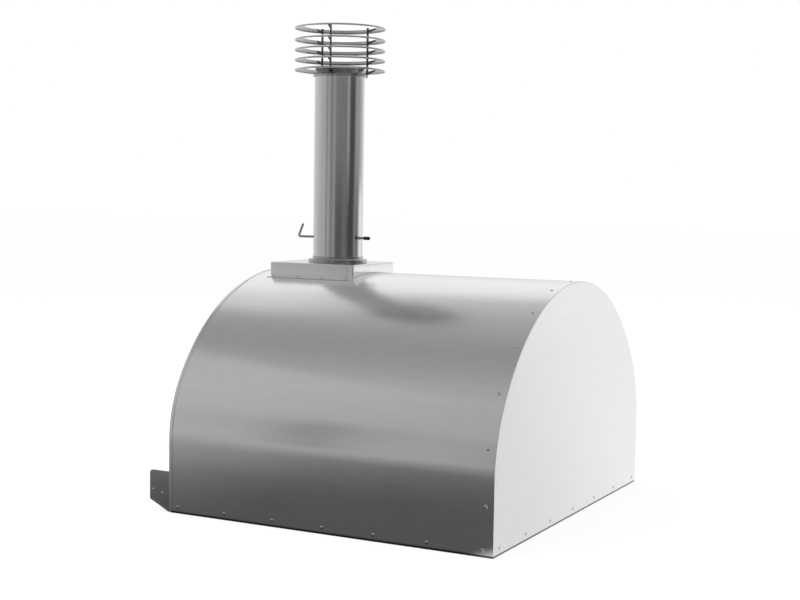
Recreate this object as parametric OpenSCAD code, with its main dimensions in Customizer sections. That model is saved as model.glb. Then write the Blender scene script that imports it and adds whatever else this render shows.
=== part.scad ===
// Wood-fired barrel oven with a lift-off door, a damped flue and a ring cowl.
// Millimetres. +Z is up, the mouth faces -Y, and the origin is the centre of the underside.

/* [Body] */
// Width over the curved outer skin
body_w = 1110; // [1060:10:1160]
// Depth from the fascia to the rear panel
body_d = 990; // [940:10:1040]
// Height of the upright part of the sides
spring_h = 200; // [190:5:220]
// Rise of the arch above the upright sides
arch_rise = 462; // [450:2:476]
// Radius of the arch's two shoulders
shoulder_r = 345; // [320:5:360]
// Thickness of the outer sheets
skin_t = 1.2; // [1:0.1:1.5]
// Room for insulation between the skin and the vault liner
wall_t = 105; // [100:1:108]
// Thickness of the vault liner and its end walls
liner_t = 3; // [2:0.5:4]

/* [Base and hearth] */
// Height of tray edge that shows below the skin
tray_show = 5.5; // [3:0.5:6]
// Height of the tray's folded sides
tray_h = 40; // [34:1:42]
// Top of the insulating board under the hearth
board_z = 54; // [50:1:58]
// Level of the hearth and of the front shelf
hearth_z = 84; // [80:1:88]
// Gap between hearth tiles
tile_gap = 1.5; // [1:0.5:3]

/* [Mouth] */
// Clear width of the mouth
mouth_w = 600; // [560:10:620]
// Level at which the mouth's arch starts
mouth_spring = 184; // [174:2:190]
// Rise of the mouth's arch
mouth_rise = 180; // [170:5:185]
// Radius of the mouth arch's shoulders
mouth_shoulder = 90; // [80:5:100]
// Width of the flat trim round the mouth
trim_w = 28; // [24:1:32]

/* [Shelf] */
// How far the shelf stands out from the fascia
shelf_out = 67; // [60:1:75]
// Top of the shelf's side cheeks
cheek_top = 116; // [108:1:122]
// Height at which the cheeks' slope starts
cheek_low = 32; // [26:1:40]
// Radius of the cheeks' upper corner
cheek_r = 10; // [6:1:14]

/* [Flue] */
// Distance of the flue in front of the body's middle
flue_front = 280; // [260:5:290]
// Outer diameter of the flue pipe
pipe_d = 150; // [146:1:154]
// Top of the flue pipe
pipe_top = 1248; // [1236:2:1252]
// Width of the box that the flue stands on
plinth_w = 254; // [244:2:264]
// Length of the box that the flue stands on
plinth_l = 284; // [274:2:290]
// Top of that box
plinth_z = 688; // [686:1:700]
// Width of the box's side feet
foot_w = 20; // [16:1:24]
// Outer diameter of the collar round the pipe
collar_d = 178; // [176:1:186]
// Height of the collar's turned-down rim
collar_h = 10; // [8:0.5:12]

/* [Damper] */
// Height of the damper's spindle
damper_z = 763; // [755:1:775]
// Diameter of the damper's spindle
spindle_d = 7; // [6:0.5:8]
// Tilt of the damper's disc and handle from upright
damper_tilt = 35.5; // [20:0.5:60]
// How far the handle's bend stands out from the pipe
handle_out = 65; // [55:1:75]
// Length of the handle's bent arm
handle_arm = 44; // [36:1:50]

/* [Cowl] */
// Outer diameter of the cowl rings
ring_d = 272; // [264:2:280]
// Width of each ring's conical band
ring_band = 28; // [24:1:30]
// Height of the outer edge of the lowest ring
ring_z = 1264; // [1262:1:1280]
// Height from one ring to the next
ring_pitch = 30; // [26:0.5:32]
// How much further up the top ring stands
top_lift = 5; // [0:1:8]

/* [Door] */
// Height of the door's handle
handle_z = 190; // [180:2:200]
// Height of the thermometer
gauge_z = 286; // [280:1:290]

/* [Hidden] */

$fa = 2;
$fs = 0.4;

half_w = body_w / 2;
half_d = body_d / 2;
play = 0.1;                 // gap between sheets that lie against each other
rivet_r = 2;                // shank of every rivet and sheet screw
hole_r = rivet_r + 0.05;
liner_in = wall_t + liner_t;
blanket_out = 2 * skin_t + 5 * play;
blanket_in = wall_t - 5 * play;
chamber_y = half_d - wall_t - 1;        // half the length of the cooking chamber

// Arch of the body: upright sides, two shoulder arcs and one crown arc
reach = half_w - shoulder_r;
crown_r = (reach * reach + arch_rise * arch_rise - shoulder_r * shoulder_r)
        / (2 * (arch_rise - shoulder_r));
crown_z = spring_h + arch_rise - crown_r;

// Rows of fasteners
side_rivet_z = 18;
side_rivet_pitch = 155;
rear_rivet_z = 19;
rear_rivet_pitch = 173;
arch_rivet_pitch = 144;
arch_rivet_in = 23;         // from the rear face of the body
plinth_rivet_pitch = 84;
collar_screw_r = 83;
trim_screw_count = 9;
trim_screw_out = 20;        // from the edge of the mouth
trim_screw_z = 16;          // lowest ones above the hearth
tab_rivet_in = 10;          // from the outer face of a shelf cheek

// Shelf
cheek_t = 2;

// Flue
flue_y = -flue_front;
pipe_r = pipe_d / 2;
pipe_t = 1.5;
spigot_r = pipe_r - pipe_t - 2 * play;
spigot_hole_r = spigot_r + 3 * play;
plinth_t = 1.5;
plinth_y = flue_y - 18;     // the pipe stands behind the box's middle
plinth_y0 = plinth_y - plinth_l / 2;
plinth_y1 = plinth_y + plinth_l / 2;
foot_mid = plinth_w / 2 + foot_w / 2;
spindle_r = spindle_d / 2;
spindle_hole_r = spindle_r + 0.06;
disc_r = pipe_r - pipe_t - 2.5;         // leaves room to turn
disc_t = 2;
disc_screw_y = 40;
bend_r = 8;                 // bend between the spindle and its handle

// Cowl
ring_r = ring_d / 2;
ring_rise = 5;              // height of the inner edge above the outer edge
ring_t = 1.5;
ring_lip = 3;               // height of the lip below the outer edge
cowl_lap = 4;              // how far the cowl's skirt reaches down over the pipe
cowl_skirt_r = pipe_r + 5.5;
stay_in = cowl_skirt_r + play;
stay_w = 6;                 // radial width of a stay
stay_t = 4;                 // thickness of a stay round the ring
stay_turn = 10.5;           // turn of the first stay from +X
stay_foot = 12;             // height and width of a stay's flat foot
stay_foot_t = 3;
stay_screw_z = 4;           // above the foot of a stay

// Door
face_t = 2;
face_lap = 14;              // overlap of the door's face on the trim
trim_t = 2;
face_y = -half_d - trim_t - 4 * play;
pan_t = 1.5;
pan_gap = 5;                // between the door's pan and the mouth
pan_back = -half_d + 58;
stem_back = pan_back + 34;  // tip of the thermometer's stem
grip_r = 11;
grip_l = 300;
grip_y = face_y - face_t - 46;
post_r = 7;
post_x = 120;
post_screw_r = 3;
gauge_r = 32;
gauge_h = 18;
gauge_bore = 1.05;
stem_r = 3;
stem_hole_r = 3.3;

// Height of the outer edge of ring k, counted from 0
function ring_at(k) = ring_z + k * ring_pitch + (k == 4 ? top_lift : 0);

function circle_deg(length, r) = length / r * 180 / PI;
function arch_crown(w, rise, shoulder) =
    let (r = w / 2 - shoulder) (r * r + rise * rise - shoulder * shoulder) / (2 * (rise - shoulder));

// Point on an arch at a distance s along it from the floor: x, z and the angle of its normal
function arch_point(w, spring, rise, shoulder, s) =
    let (r = w / 2 - shoulder)
    let (big = arch_crown(w, rise, shoulder))
    let (big_z = spring + rise - big)
    let (meet = atan2(spring - big_z, r))
    let (side_len = shoulder * meet * PI / 180)
    let (low = circle_deg(s - spring, shoulder))
    let (high = meet + circle_deg(s - spring - side_len, big))
    s < spring ? [w / 2, s, 0]
        : s < spring + side_len ? [r + shoulder * cos(low), spring + shoulder * sin(low), low]
        : [big * cos(high), big_z + big * sin(high), high];

// Length of half an arch, from the floor to the crown
function arch_half(w, spring, rise, shoulder) =
    let (big = arch_crown(w, rise, shoulder))
    let (meet = atan2(big - rise, w / 2 - shoulder))
    spring + (shoulder * meet + big * (90 - meet)) * PI / 180;

// Outline with upright sides, two shoulder arcs and one crown arc, standing on the line base
module arch(w, spring, rise, shoulder, base) {
    r = w / 2 - shoulder;
    big = arch_crown(w, rise, shoulder);
    big_z = spring + rise - big;
    span = 4;
    intersection() {
        translate([-w / 2, base]) square([w, spring + rise - base]);
        union() {
            translate([-w / 2, base]) square([w, spring - base]);
            for (side = [-1, 1]) translate([side * r, spring]) circle(shoulder);
            intersection() {
                translate([0, big_z]) circle(big);
                polygon([
                    [0, big_z],
                    [span * r, big_z + span * (spring - big_z)],
                    [span * r, big_z + span * big],
                    [-span * r, big_z + span * big],
                    [-span * r, big_z + span * (spring - big_z)]
                ]);
            }
        }
    }
}

module body_arch(inset, base) {
    arch(body_w - 2 * inset, spring_h, arch_rise - inset, shoulder_r - inset, base);
}

module mouth_arch(inset, base) {
    arch(mouth_w - 2 * inset, mouth_spring, mouth_rise - inset, mouth_shoulder - inset, base);
}

// Lays an outline drawn in X and Z along Y, from y0 to y1
module along_y(y0, y1) {
    translate([0, y1, 0]) rotate([90, 0, 0]) linear_extrude(y1 - y0) children();
}

module body_ring(outer, inner, base, y0, y1) {
    along_y(y0, y1) difference() {
        body_arch(outer, base);
        body_arch(inner, base - 1);
    }
}

// Puts its child at a point with +Z turned towards -Y
module facing_front(x, y, z) {
    translate([x, y, z]) rotate([90, 0, 0]) children();
}

// Places of the fasteners, with +Z pointing out of the surface
module at_side_rivets() {
    for (side = [0, 1], k = [-3:3])
        mirror([side, 0, 0]) translate([half_w, k * side_rivet_pitch, side_rivet_z])
            rotate([0, 90, 0]) children();
}

module at_rear_rivets() {
    for (k = [-3:3]) translate([k * rear_rivet_pitch, half_d, rear_rivet_z])
        rotate([-90, 0, 0]) children();
}

module at_arch_rivets() {
    total = arch_half(body_w, spring_h, arch_rise, shoulder_r);
    for (k = [-6:6]) {
        p = arch_point(body_w, spring_h, arch_rise, shoulder_r, total - abs(k) * arch_rivet_pitch);
        mirror([k < 0 ? 1 : 0, 0, 0]) translate([p[0], half_d - arch_rivet_in, p[1]])
            rotate([0, 90 - p[2], 0]) children();
    }
}

module at_plinth_rivets() {
    turn = asin(foot_mid / crown_r);
    for (side = [0, 1], k = [-1.5:1.5])
        mirror([side, 0, 0]) translate([0, plinth_y + k * plinth_rivet_pitch, crown_z])
            rotate([0, turn, 0]) translate([0, 0, crown_r]) children();
}

module at_collar_screws() {
    for (k = [0:5]) translate([0, flue_y, plinth_z]) rotate([0, 0, 60 * k])
        translate([collar_screw_r, 0, 0]) children();
}

module at_trim_screws() {
    w = mouth_w + 2 * trim_screw_out;
    rise = mouth_rise + trim_screw_out;
    shoulder = mouth_shoulder + trim_screw_out;
    total = arch_half(w, mouth_spring, rise, shoulder);
    first = hearth_z + trim_screw_z;
    steps = (trim_screw_count - 1) / 2;
    for (k = [-steps:steps]) {
        p = arch_point(w, mouth_spring, rise, shoulder, total - abs(k) * (total - first) / steps);
        mirror([k < 0 ? 1 : 0, 0, 0]) facing_front(p[0], -half_d, p[1]) children();
    }
}

// Two rivets through a cheek into the apron's flange: share of the shelf's reach, and height
module at_shelf_rivets() {
    for (p = [[0.35, 52], [0.8, 60]])
        translate([half_w, -half_d - shelf_out * p[0], p[1]]) rotate([0, 90, 0]) children();
}

// Two rivets through a cheek's tab into the fascia
module at_tab_rivets() {
    for (z = [hearth_z + 8, cheek_top - 9])
        facing_front(half_w - tab_rivet_in, -half_d - 1.7, z) children();
}

module at_stays() {
    for (k = [0:2]) translate([0, flue_y, 0]) rotate([0, 0, stay_turn + 120 * k]) children();
}

module at_stay_screw() {
    translate([stay_in + stay_foot_t, 0, pipe_top - cowl_lap + stay_screw_z])
        rotate([0, 90, 0]) children();
}

module at_cowl_screws() {
    at_stays() at_stay_screw() children();
}

// Domed head on a round shank that reaches down by the depth given
module rivet(head_r, head_h, depth) {
    ball_r = (head_r * head_r + head_h * head_h) / (2 * head_h);
    intersection() {
        translate([0, 0, head_h - ball_r]) sphere(ball_r);
        cylinder(r = head_r + 1, h = head_h + 1);
    }
    translate([0, 0, -depth]) cylinder(r = rivet_r, h = depth + head_h / 4);
}

module rivet_hole(depth, out = 1) {
    translate([0, 0, -depth]) cylinder(r = hole_r, h = depth + out);
}

// Base and hearth

module base_tray() {
    x = half_w - skin_t - play;
    y = half_d - skin_t - 2 * play;
    fold = 1.5;
    color("dimgray") difference() {
        translate([-x, -y, 0]) cube([2 * x, 2 * y, tray_h]);
        translate([fold - x, fold - y, 2]) cube([2 * (x - fold), 2 * (y - fold), tray_h]);
        at_side_rivets() rivet_hole(6);
        at_rear_rivets() rivet_hole(6);
    }
}

module hearth_board() {
    x = half_w - 3.5;
    y = half_d - 3.5;
    split = 1;
    color("ivory") for (side_x = [0, 1], side_y = [0, 1])
        mirror([side_x, 0, 0]) mirror([0, side_y, 0])
            translate([split / 2, split / 2, 2]) cube([x - split / 2, y - split / 2, board_z - 2]);
}

module hearth_tiles() {
    x = half_w - liner_in - 1;
    y = chamber_y - 0.5;
    tile_x = (2 * x - 2 * tile_gap) / 3;
    tile_y = (2 * y - 2 * tile_gap) / 3;
    color("tan") for (i = [0:2], j = [0:2])
        translate([i * (tile_x + tile_gap) - x, j * (tile_y + tile_gap) - y, board_z])
            cube([tile_x, tile_y, hearth_z - board_z]);
}

// Outer sheets

module outer_skin() {
    color("silver") difference() {
        body_ring(0, skin_t, tray_show, skin_t - half_d, half_d - skin_t);
        translate([0, flue_y, arch_rise]) cylinder(r = spigot_hole_r + 6, h = spring_h + 10);
        at_side_rivets() rivet_hole(4);
        at_arch_rivets() rivet_hole(4);
        at_plinth_rivets() rivet_hole(4);
    }
}

module rear_panel() {
    flange = 28;
    color("gainsboro") difference() {
        union() {
            along_y(half_d - skin_t, half_d) body_arch(0, tray_show);
            body_ring(skin_t + play / 2, 2 * skin_t + play / 2, tray_h + 4,
                half_d - skin_t - flange, half_d - skin_t);
        }
        at_rear_rivets() rivet_hole(4);
        at_arch_rivets() rivet_hole(4);
    }
}

module front_fascia() {
    rim = 8.8;
    color("silver") difference() {
        union() {
            along_y(-half_d, skin_t - half_d) body_arch(-skin_t - play, tray_show);
            body_ring(-skin_t - play, -play, tray_show, skin_t - half_d, skin_t - half_d + rim);
        }
        along_y(-half_d - 1, skin_t - half_d + 1) mouth_arch(0, hearth_z);
        at_trim_screws() rivet_hole(4);
        for (side = [0, 1]) mirror([side, 0, 0]) at_tab_rivets() rivet_hole(6);
    }
}

// Mouth

module mouth_trim() {
    color("silver") difference() {
        along_y(-half_d - trim_t, -half_d) difference() {
            mouth_arch(-trim_w, hearth_z + 0.5);
            mouth_arch(0, hearth_z - 1);
        }
        at_trim_screws() rivet_hole(4, 4);
    }
}

module mouth_throat() {
    color("gray") along_y(-half_d + skin_t + play, -chamber_y) difference() {
        mouth_arch(-liner_t, hearth_z - liner_t);
        mouth_arch(0, hearth_z);
    }
}

// Cooking chamber

module vault_liner() {
    color("gray") difference() {
        body_ring(wall_t, liner_in, board_z, -chamber_y, chamber_y);
        translate([0, flue_y, arch_rise - wall_t]) cylinder(r = spigot_hole_r, h = spring_h + 10);
    }
}

module inner_front_wall() {
    color("gray") along_y(-chamber_y - liner_t, -chamber_y) difference() {
        body_arch(wall_t, board_z);
        mouth_arch(-liner_t - play, hearth_z - liner_t - play);
    }
}

module inner_rear_wall() {
    color("gray") along_y(chamber_y, chamber_y + liner_t) body_arch(wall_t, board_z);
}

module vault_blanket() {
    end = chamber_y + 2;
    color("white") difference() {
        body_ring(blanket_out, blanket_in, board_z + 0.5, -end, end);
        translate([0, flue_y, arch_rise - wall_t]) cylinder(r = spigot_hole_r + 3, h = spring_h + wall_t);
    }
}

module front_blanket() {
    end = chamber_y + liner_t + 0.5;
    color("white") along_y(0.5 + skin_t - half_d, -end) difference() {
        body_arch(blanket_out, board_z + 0.5);
        mouth_arch(-liner_t - 0.5, hearth_z - liner_t - 0.5);
    }
}

module rear_blanket() {
    end = chamber_y + liner_t + 0.5;
    color("white") along_y(end, half_d - skin_t - 0.5) body_arch(blanket_out, board_z + 0.5);
}

// Shelf

module shelf_plate() {
    x = half_w - cheek_t - 0.5;
    lip = 18;
    lip_x = x - 1.8;
    color("dimgray") {
        translate([-x, -half_d - shelf_out + 2.2, hearth_z - 2]) cube([2 * x, shelf_out - 2.4, 2]);
        translate([-lip_x, -half_d - shelf_out + 2.2, hearth_z - lip]) cube([2 * lip_x, 1.5, lip]);
    }
}

// One sheet: an upright front, a slope back to the foot of the fascia, and a flange at each end
module shelf_apron() {
    x = half_w - cheek_t - 0.5;
    sheet = 1.5;
    front = -half_d - shelf_out + 0.5;
    back = -half_d - 0.2;
    low = cheek_low + 2;
    foot = 4;
    slope = atan2(low - foot, back - front);
    color("dimgray") difference() {
        union() {
            translate([-x, 0, 0]) rotate([90, 0, 90]) linear_extrude(2 * x) polygon([
                [front, hearth_z],
                [front, low],
                [back, foot],
                [back, foot + sheet / cos(slope)],
                [front + sheet, low + sheet],
                [front + sheet, hearth_z]
            ]);
            for (side = [0, 1]) mirror([side, 0, 0])
                translate([x - sheet, 0, 0]) rotate([90, 0, 90]) linear_extrude(sheet) polygon([
                    [front, hearth_z - 2.3],
                    [front, low],
                    [back, foot],
                    [back, hearth_z - 2.3]
                ]);
        }
        for (side = [0, 1]) mirror([side, 0, 0]) at_shelf_rivets() rivet_hole(5);
    }
}

module shelf_cheek(flip) {
    front = half_d + shelf_out;
    tab = 16;
    tab_t = 1.5;
    inner = half_w - cheek_t;
    color("dimgray") mirror([flip, 0, 0]) difference() {
        union() {
            translate([inner, 0, 0]) rotate([90, 0, 90]) linear_extrude(cheek_t) union() {
                polygon([
                    [-half_d - 0.2, cheek_top],
                    [-front + cheek_r, cheek_top],
                    [-front, cheek_top - cheek_r],
                    [-front, cheek_low],
                    [-half_d - 0.2, 0.5]
                ]);
                translate([cheek_r - front, cheek_top - cheek_r]) circle(cheek_r);
            }
            translate([inner - tab, -half_d - 0.2 - tab_t, hearth_z + 1])
                cube([tab, tab_t, cheek_top - hearth_z - 3]);
        }
        at_shelf_rivets() rivet_hole(4);
        at_tab_rivets() rivet_hole(4);
    }
}

module shelf_cheek_left() {
    shelf_cheek(1);
}

module shelf_cheek_right() {
    shelf_cheek(0);
}

// Flue

module flue_plinth() {
    foot_lift = plinth_t + play;
    color("lightgray") difference() {
        union() {
            difference() {
                along_y(plinth_y0, plinth_y1) difference() {
                    translate([-plinth_w / 2, arch_rise]) square([plinth_w, plinth_z - arch_rise]);
                    body_arch(-play, 0);
                }
                translate([plinth_t - plinth_w / 2, plinth_y0 + plinth_t, arch_rise])
                    cube([
                        plinth_w - 2 * plinth_t,
                        plinth_l - 2 * plinth_t,
                        plinth_z - plinth_t - arch_rise
                    ]);
            }
            along_y(plinth_y0, plinth_y1) intersection() {
                difference() {
                    body_arch(-foot_lift, 0);
                    body_arch(-play, -1);
                }
                for (side = [0, 1]) mirror([side, 0])
                    translate([plinth_w / 2 - plinth_t, arch_rise]) square([foot_w + plinth_t, spring_h]);
            }
        }
        translate([0, flue_y, plinth_z - 10]) cylinder(r = spigot_hole_r, h = 20);
        at_plinth_rivets() rivet_hole(4, 6);
        at_collar_screws() rivet_hole(4);
    }
}

module flue_spigot() {
    foot_z = spring_h + arch_rise - liner_in - 14;
    top_z = plinth_z + 46;
    color("gray") translate([0, flue_y, 0]) difference() {
        union() {
            translate([0, 0, foot_z]) cylinder(r = spigot_r, h = top_z - foot_z);
            translate([0, 0, foot_z]) cylinder(r = spigot_r + 13, h = 2);
        }
        translate([0, 0, foot_z - 1]) cylinder(r = spigot_r - pipe_t, h = top_z - foot_z + 2);
    }
}

// A raised plate round the pipe, with its outer rim turned down to the box and a neck at the pipe
module flue_collar() {
    sheet = 1.5;
    neck = 9;
    fillet = 3.5;           // ends short of the screws' heads
    inner = pipe_r + 0.3;
    outer = collar_d / 2;
    color("silver") translate([0, flue_y, plinth_z]) difference() {
        rotate_extrude() polygon([
            [outer - sheet, 0],
            [outer, 0],
            [outer, collar_h - sheet],
            [outer - sheet, collar_h],
            [inner + fillet, collar_h],
            [inner + sheet, collar_h + fillet],
            [inner + sheet, collar_h + neck],
            [inner, collar_h + neck],
            [inner, collar_h - sheet],
            [outer - sheet, collar_h - sheet]
        ]);
        for (k = [0:5]) rotate([0, 0, 60 * k]) translate([collar_screw_r, 0, collar_h]) rivet_hole(4);
    }
}

module flue_pipe() {
    color("silver") translate([0, flue_y, 0]) difference() {
        translate([0, 0, plinth_z]) cylinder(r = pipe_r, h = pipe_top - plinth_z);
        translate([0, 0, plinth_z - 1]) cylinder(r = pipe_r - pipe_t, h = pipe_top - plinth_z + 2);
        translate([0, pipe_r + 5, damper_z]) rotate([90, 0, 0])
            cylinder(r = spindle_hole_r, h = pipe_d + 10);
    }
}

// Damper: the disc and the handle lie in one plane, tilted from upright

module in_damper() {
    translate([0, flue_y, damper_z]) rotate([0, -damper_tilt, 0]) children();
}

module damper_bushes() {
    bush_r = 6;
    bush_t = 1.5;
    color("gray") for (side = [0, 1]) translate([0, flue_y, damper_z]) mirror([0, side, 0])
        rotate([-90, 0, 0]) difference() {
            translate([0, 0, pipe_r + play / 2]) cylinder(r = bush_r, h = bush_t);
            translate([0, 0, pipe_r - 1]) cylinder(r = spindle_hole_r, h = bush_t + 2);
        }
}

module damper_spindle() {
    front = pipe_r + handle_out;
    back = pipe_r + 28;
    color("silver") in_damper() difference() {
        union() {
            translate([0, back, 0]) rotate([90, 0, 0]) cylinder(r = spindle_r, h = front + back - bend_r);
            translate([0, bend_r - front, bend_r]) rotate([0, -90, 0]) rotate([0, 0, 180])
                rotate_extrude(angle = 90) translate([bend_r, 0]) circle(spindle_r);
            translate([0, -front, bend_r]) cylinder(r = spindle_r, h = handle_arm - bend_r);
            translate([0, -front, handle_arm]) sphere(spindle_r);
        }
        for (side = [-1, 1]) translate([-spindle_r - 1, side * disc_screw_y, 0]) rotate([0, 90, 0])
            cylinder(r = hole_r, h = 2 * spindle_r + 2);
    }
}

module damper_disc() {
    color("gray") in_damper() translate([spindle_r + play, 0, 0]) rotate([0, 90, 0]) difference() {
        cylinder(r = disc_r, h = disc_t);
        for (side = [-1, 1]) translate([0, side * disc_screw_y, -1]) cylinder(r = hole_r, h = disc_t + 2);
    }
}

module damper_screws() {
    lift = spindle_r + play + disc_t;
    color("gray") in_damper() for (side = [-1, 1]) translate([lift, side * disc_screw_y, 0])
        rotate([0, 90, 0]) rivet(4.5, 2.5, 2 * spindle_r + disc_t + 1);
}

module damper_end_cap() {
    cap_r = 5.3;
    cap_l = 15;             // without its round end
    start = pipe_r + 15.5;
    bore = 13;
    color("black") in_damper() translate([0, start, 0]) rotate([-90, 0, 0]) difference() {
        union() {
            cylinder(r = cap_r, h = cap_l);
            translate([0, 0, cap_l]) intersection() {
                sphere(cap_r);
                cylinder(r = cap_r, h = cap_r);
            }
        }
        translate([0, 0, -1]) cylinder(r = spindle_r, h = bore + 1);
    }
}

// Cowl

module cowl_base() {
    bore = pipe_r + 0.3;
    skirt_h = 7;
    cone_h = 27;
    sheet = 1.6;
    color("silver") difference() {
        translate([0, flue_y, pipe_top - cowl_lap]) rotate_extrude() polygon([
            [bore, 0],
            [cowl_skirt_r, 0],
            [cowl_skirt_r, skirt_h],
            [cowl_skirt_r - sheet, skirt_h + 2],
            [pipe_r - 1, cone_h],
            [pipe_r - 1 - sheet, cone_h],
            [pipe_r - 1, skirt_h - 1],
            [bore, skirt_h - 1]
        ]);
        at_cowl_screws() rivet_hole(stay_foot_t + 4);
    }
}

// A conical band with a lip turned down at its outer edge
module cowl_ring(k) {
    inner = ring_r - ring_band;
    color("silver") translate([0, flue_y, ring_at(k)]) rotate_extrude() polygon([
        [ring_r - ring_t, -ring_lip],
        [ring_r, -ring_lip],
        [ring_r, ring_t],
        [inner, ring_rise + ring_t],
        [inner, ring_rise],
        [ring_r - ring_t, ring_rise * ring_t / ring_band]
    ]);
}

module cowl_ring_1() {
    cowl_ring(0);
}

module cowl_ring_2() {
    cowl_ring(1);
}

module cowl_ring_3() {
    cowl_ring(2);
}

module cowl_ring_4() {
    cowl_ring(3);
}

module cowl_ring_5() {
    cowl_ring(4);
}

// Three upright bars, each with a flat foot and a slanted tab that carries every ring
module cowl_stays() {
    foot_z = pipe_top - cowl_lap;
    bar_z = foot_z + stay_foot - 3;
    top_z = ring_at(4) + ring_rise;
    inner = ring_r - ring_band - play;
    tab_low = -9;           // foot of a tab below its ring
    color("gray") at_stays() difference() {
        union() {
            rotate([90, 0, 0]) translate([0, 0, -stay_t / 2]) linear_extrude(stay_t) union() {
                translate([stay_in, bar_z]) square([stay_w, top_z - bar_z]);
                for (k = [0:4]) translate([0, ring_at(k)]) polygon([
                    [stay_in + 1, tab_low],
                    [stay_in + 1, tab_low + 5],
                    [inner, ring_rise + ring_t],
                    [inner, ring_rise + ring_t - 5],
                    [stay_in + stay_w, tab_low]
                ]);
            }
            translate([stay_in, -stay_foot / 2, foot_z]) cube([stay_foot_t, stay_foot, stay_foot]);
        }
        at_stay_screw() rivet_hole(stay_foot_t + 1);
    }
}

module cowl_screws() {
    color("gray") at_cowl_screws() rivet(3.6, 2, stay_foot_t + 3.5);
}

// Fasteners of the body

module side_rivets() {
    color("silver") at_side_rivets() rivet(5, 1.6, 2.9);
}

module rear_rivets() {
    color("silver") at_rear_rivets() rivet(5, 1.6, 2.9);
}

module arch_rivets() {
    color("silver") at_arch_rivets() translate([0, 0, 0.05]) rivet(5, 1.6, 2.8);
}

module shelf_rivets() {
    color("silver") for (side = [0, 1]) mirror([side, 0, 0]) {
        at_shelf_rivets() rivet(4.5, 1.3, 4);
        at_tab_rivets() rivet(4.5, 1.3, 3.4);
    }
}

module plinth_rivets() {
    color("silver") at_plinth_rivets() translate([0, 0, plinth_t + play + 0.05]) rivet(5, 1.6, 3.6);
}

module collar_screws() {
    tip = 2.1;              // below the box's top
    color("silver") at_collar_screws() translate([0, 0, collar_h]) rivet(3.4, 1.4, collar_h + tip);
}

module trim_screws() {
    color("silver") at_trim_screws() translate([0, 0, trim_t]) rivet(4.5, 1.1, 3.6);
}

// Door

module door_face() {
    color("silver") difference() {
        along_y(face_y - face_t, face_y) mouth_arch(-face_lap, hearth_z + 0.3);
        facing_front(0, face_y + 1, gauge_z) cylinder(r = stem_hole_r, h = face_t + 2);
        for (side = [-1, 1]) facing_front(side * post_x, face_y + 1, handle_z)
            cylinder(r = post_screw_r + 0.05, h = face_t + 2);
    }
}

module door_pan() {
    color("gray") difference() {
        along_y(face_y, pan_back) mouth_arch(pan_gap, hearth_z + pan_gap);
        along_y(face_y - 1, pan_back - pan_t) mouth_arch(pan_gap + pan_t, hearth_z + pan_gap + pan_t);
        facing_front(0, pan_back + 1, gauge_z) cylinder(r = stem_hole_r, h = pan_t + 2);
    }
}

module door_insulation() {
    inset = pan_gap + pan_t + 0.5;
    color("white") difference() {
        along_y(face_y + 0.3, pan_back - pan_t - 0.3) mouth_arch(inset, hearth_z + inset);
        facing_front(0, pan_back + 1, gauge_z) cylinder(r = stem_hole_r + 0.5, h = pan_back - face_y + 2);
        for (side = [-1, 1]) facing_front(side * post_x, face_y + 10, handle_z) cylinder(r = 6, h = 12);
    }
}

module door_handle() {
    color("silver") difference() {
        union() {
            translate([-grip_l / 2, grip_y, handle_z]) rotate([0, 90, 0])
                cylinder(r = grip_r, h = grip_l);
            for (side = [-1, 1]) translate([side * grip_l / 2, grip_y, handle_z]) sphere(grip_r);
        }
        for (side = [-1, 1]) facing_front(side * post_x, grip_y + grip_r + 1, handle_z)
            cylinder(r = post_screw_r + 0.05, h = grip_r + 6);
    }
}

module handle_posts() {
    length = face_y - face_t - grip_y;
    color("gray") for (side = [-1, 1]) difference() {
        facing_front(side * post_x, face_y - face_t, handle_z) cylinder(r = post_r, h = length);
        translate([side * post_x - 2 * post_r, grip_y, handle_z]) rotate([0, 90, 0])
            cylinder(r = grip_r + 0.02, h = 4 * post_r);
        facing_front(side * post_x, face_y, handle_z) cylinder(r = post_screw_r + 0.05, h = length + 5);
    }
}

// Each screw runs from the back of the door's face, through the post, into the grip
module handle_screws() {
    reach_in = face_y - grip_y - 2;
    color("gray") for (side = [-1, 1]) facing_front(side * post_x, face_y, handle_z) {
        cylinder(r = post_screw_r, h = reach_in);
        translate([0, 0, -3]) cylinder(r = 5.3, h = 3);
    }
}

module in_gauge() {
    facing_front(0, face_y - face_t, gauge_z) children();
}

module thermometer_case() {
    color("silver") in_gauge() difference() {
        cylinder(r = gauge_r, h = gauge_h);
        translate([0, 0, 3]) cylinder(r = gauge_r - 2, h = gauge_h - 4.5);
        translate([0, 0, 3]) cylinder(r = gauge_r - 4, h = gauge_h);
        translate([0, 0, 1]) cylinder(r = gauge_bore, h = 3);
    }
}

module thermometer_dial() {
    color("white") in_gauge() translate([0, 0, 3]) difference() {
        cylinder(r = gauge_r - 2.2, h = 1);
        translate([0, 0, -1]) cylinder(r = gauge_bore, h = 3);
    }
}

module thermometer_needle() {
    color("red") in_gauge() {
        translate([0, 0, 1.5]) cylinder(r = 1, h = 7);
        translate([0, 0, 5.5]) cylinder(r = 3, h = 2);
        translate([0, 0, 6]) rotate([0, 0, 135]) linear_extrude(0.8) polygon([
            [-1.6, -7],
            [1.6, -7],
            [0.5, 23],
            [-0.5, 23]
        ]);
    }
}

module thermometer_glass() {
    color("lightblue") in_gauge() translate([0, 0, gauge_h - 4]) cylinder(r = gauge_r - 2.1, h = 2.4);
}

module thermometer_stem() {
    color("gray") facing_front(0, stem_back, gauge_z) union() {
        translate([0, 0, stem_r]) cylinder(r = stem_r, h = stem_back - face_y + face_t - stem_r);
        translate([0, 0, stem_r]) sphere(stem_r);
    }
}

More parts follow.
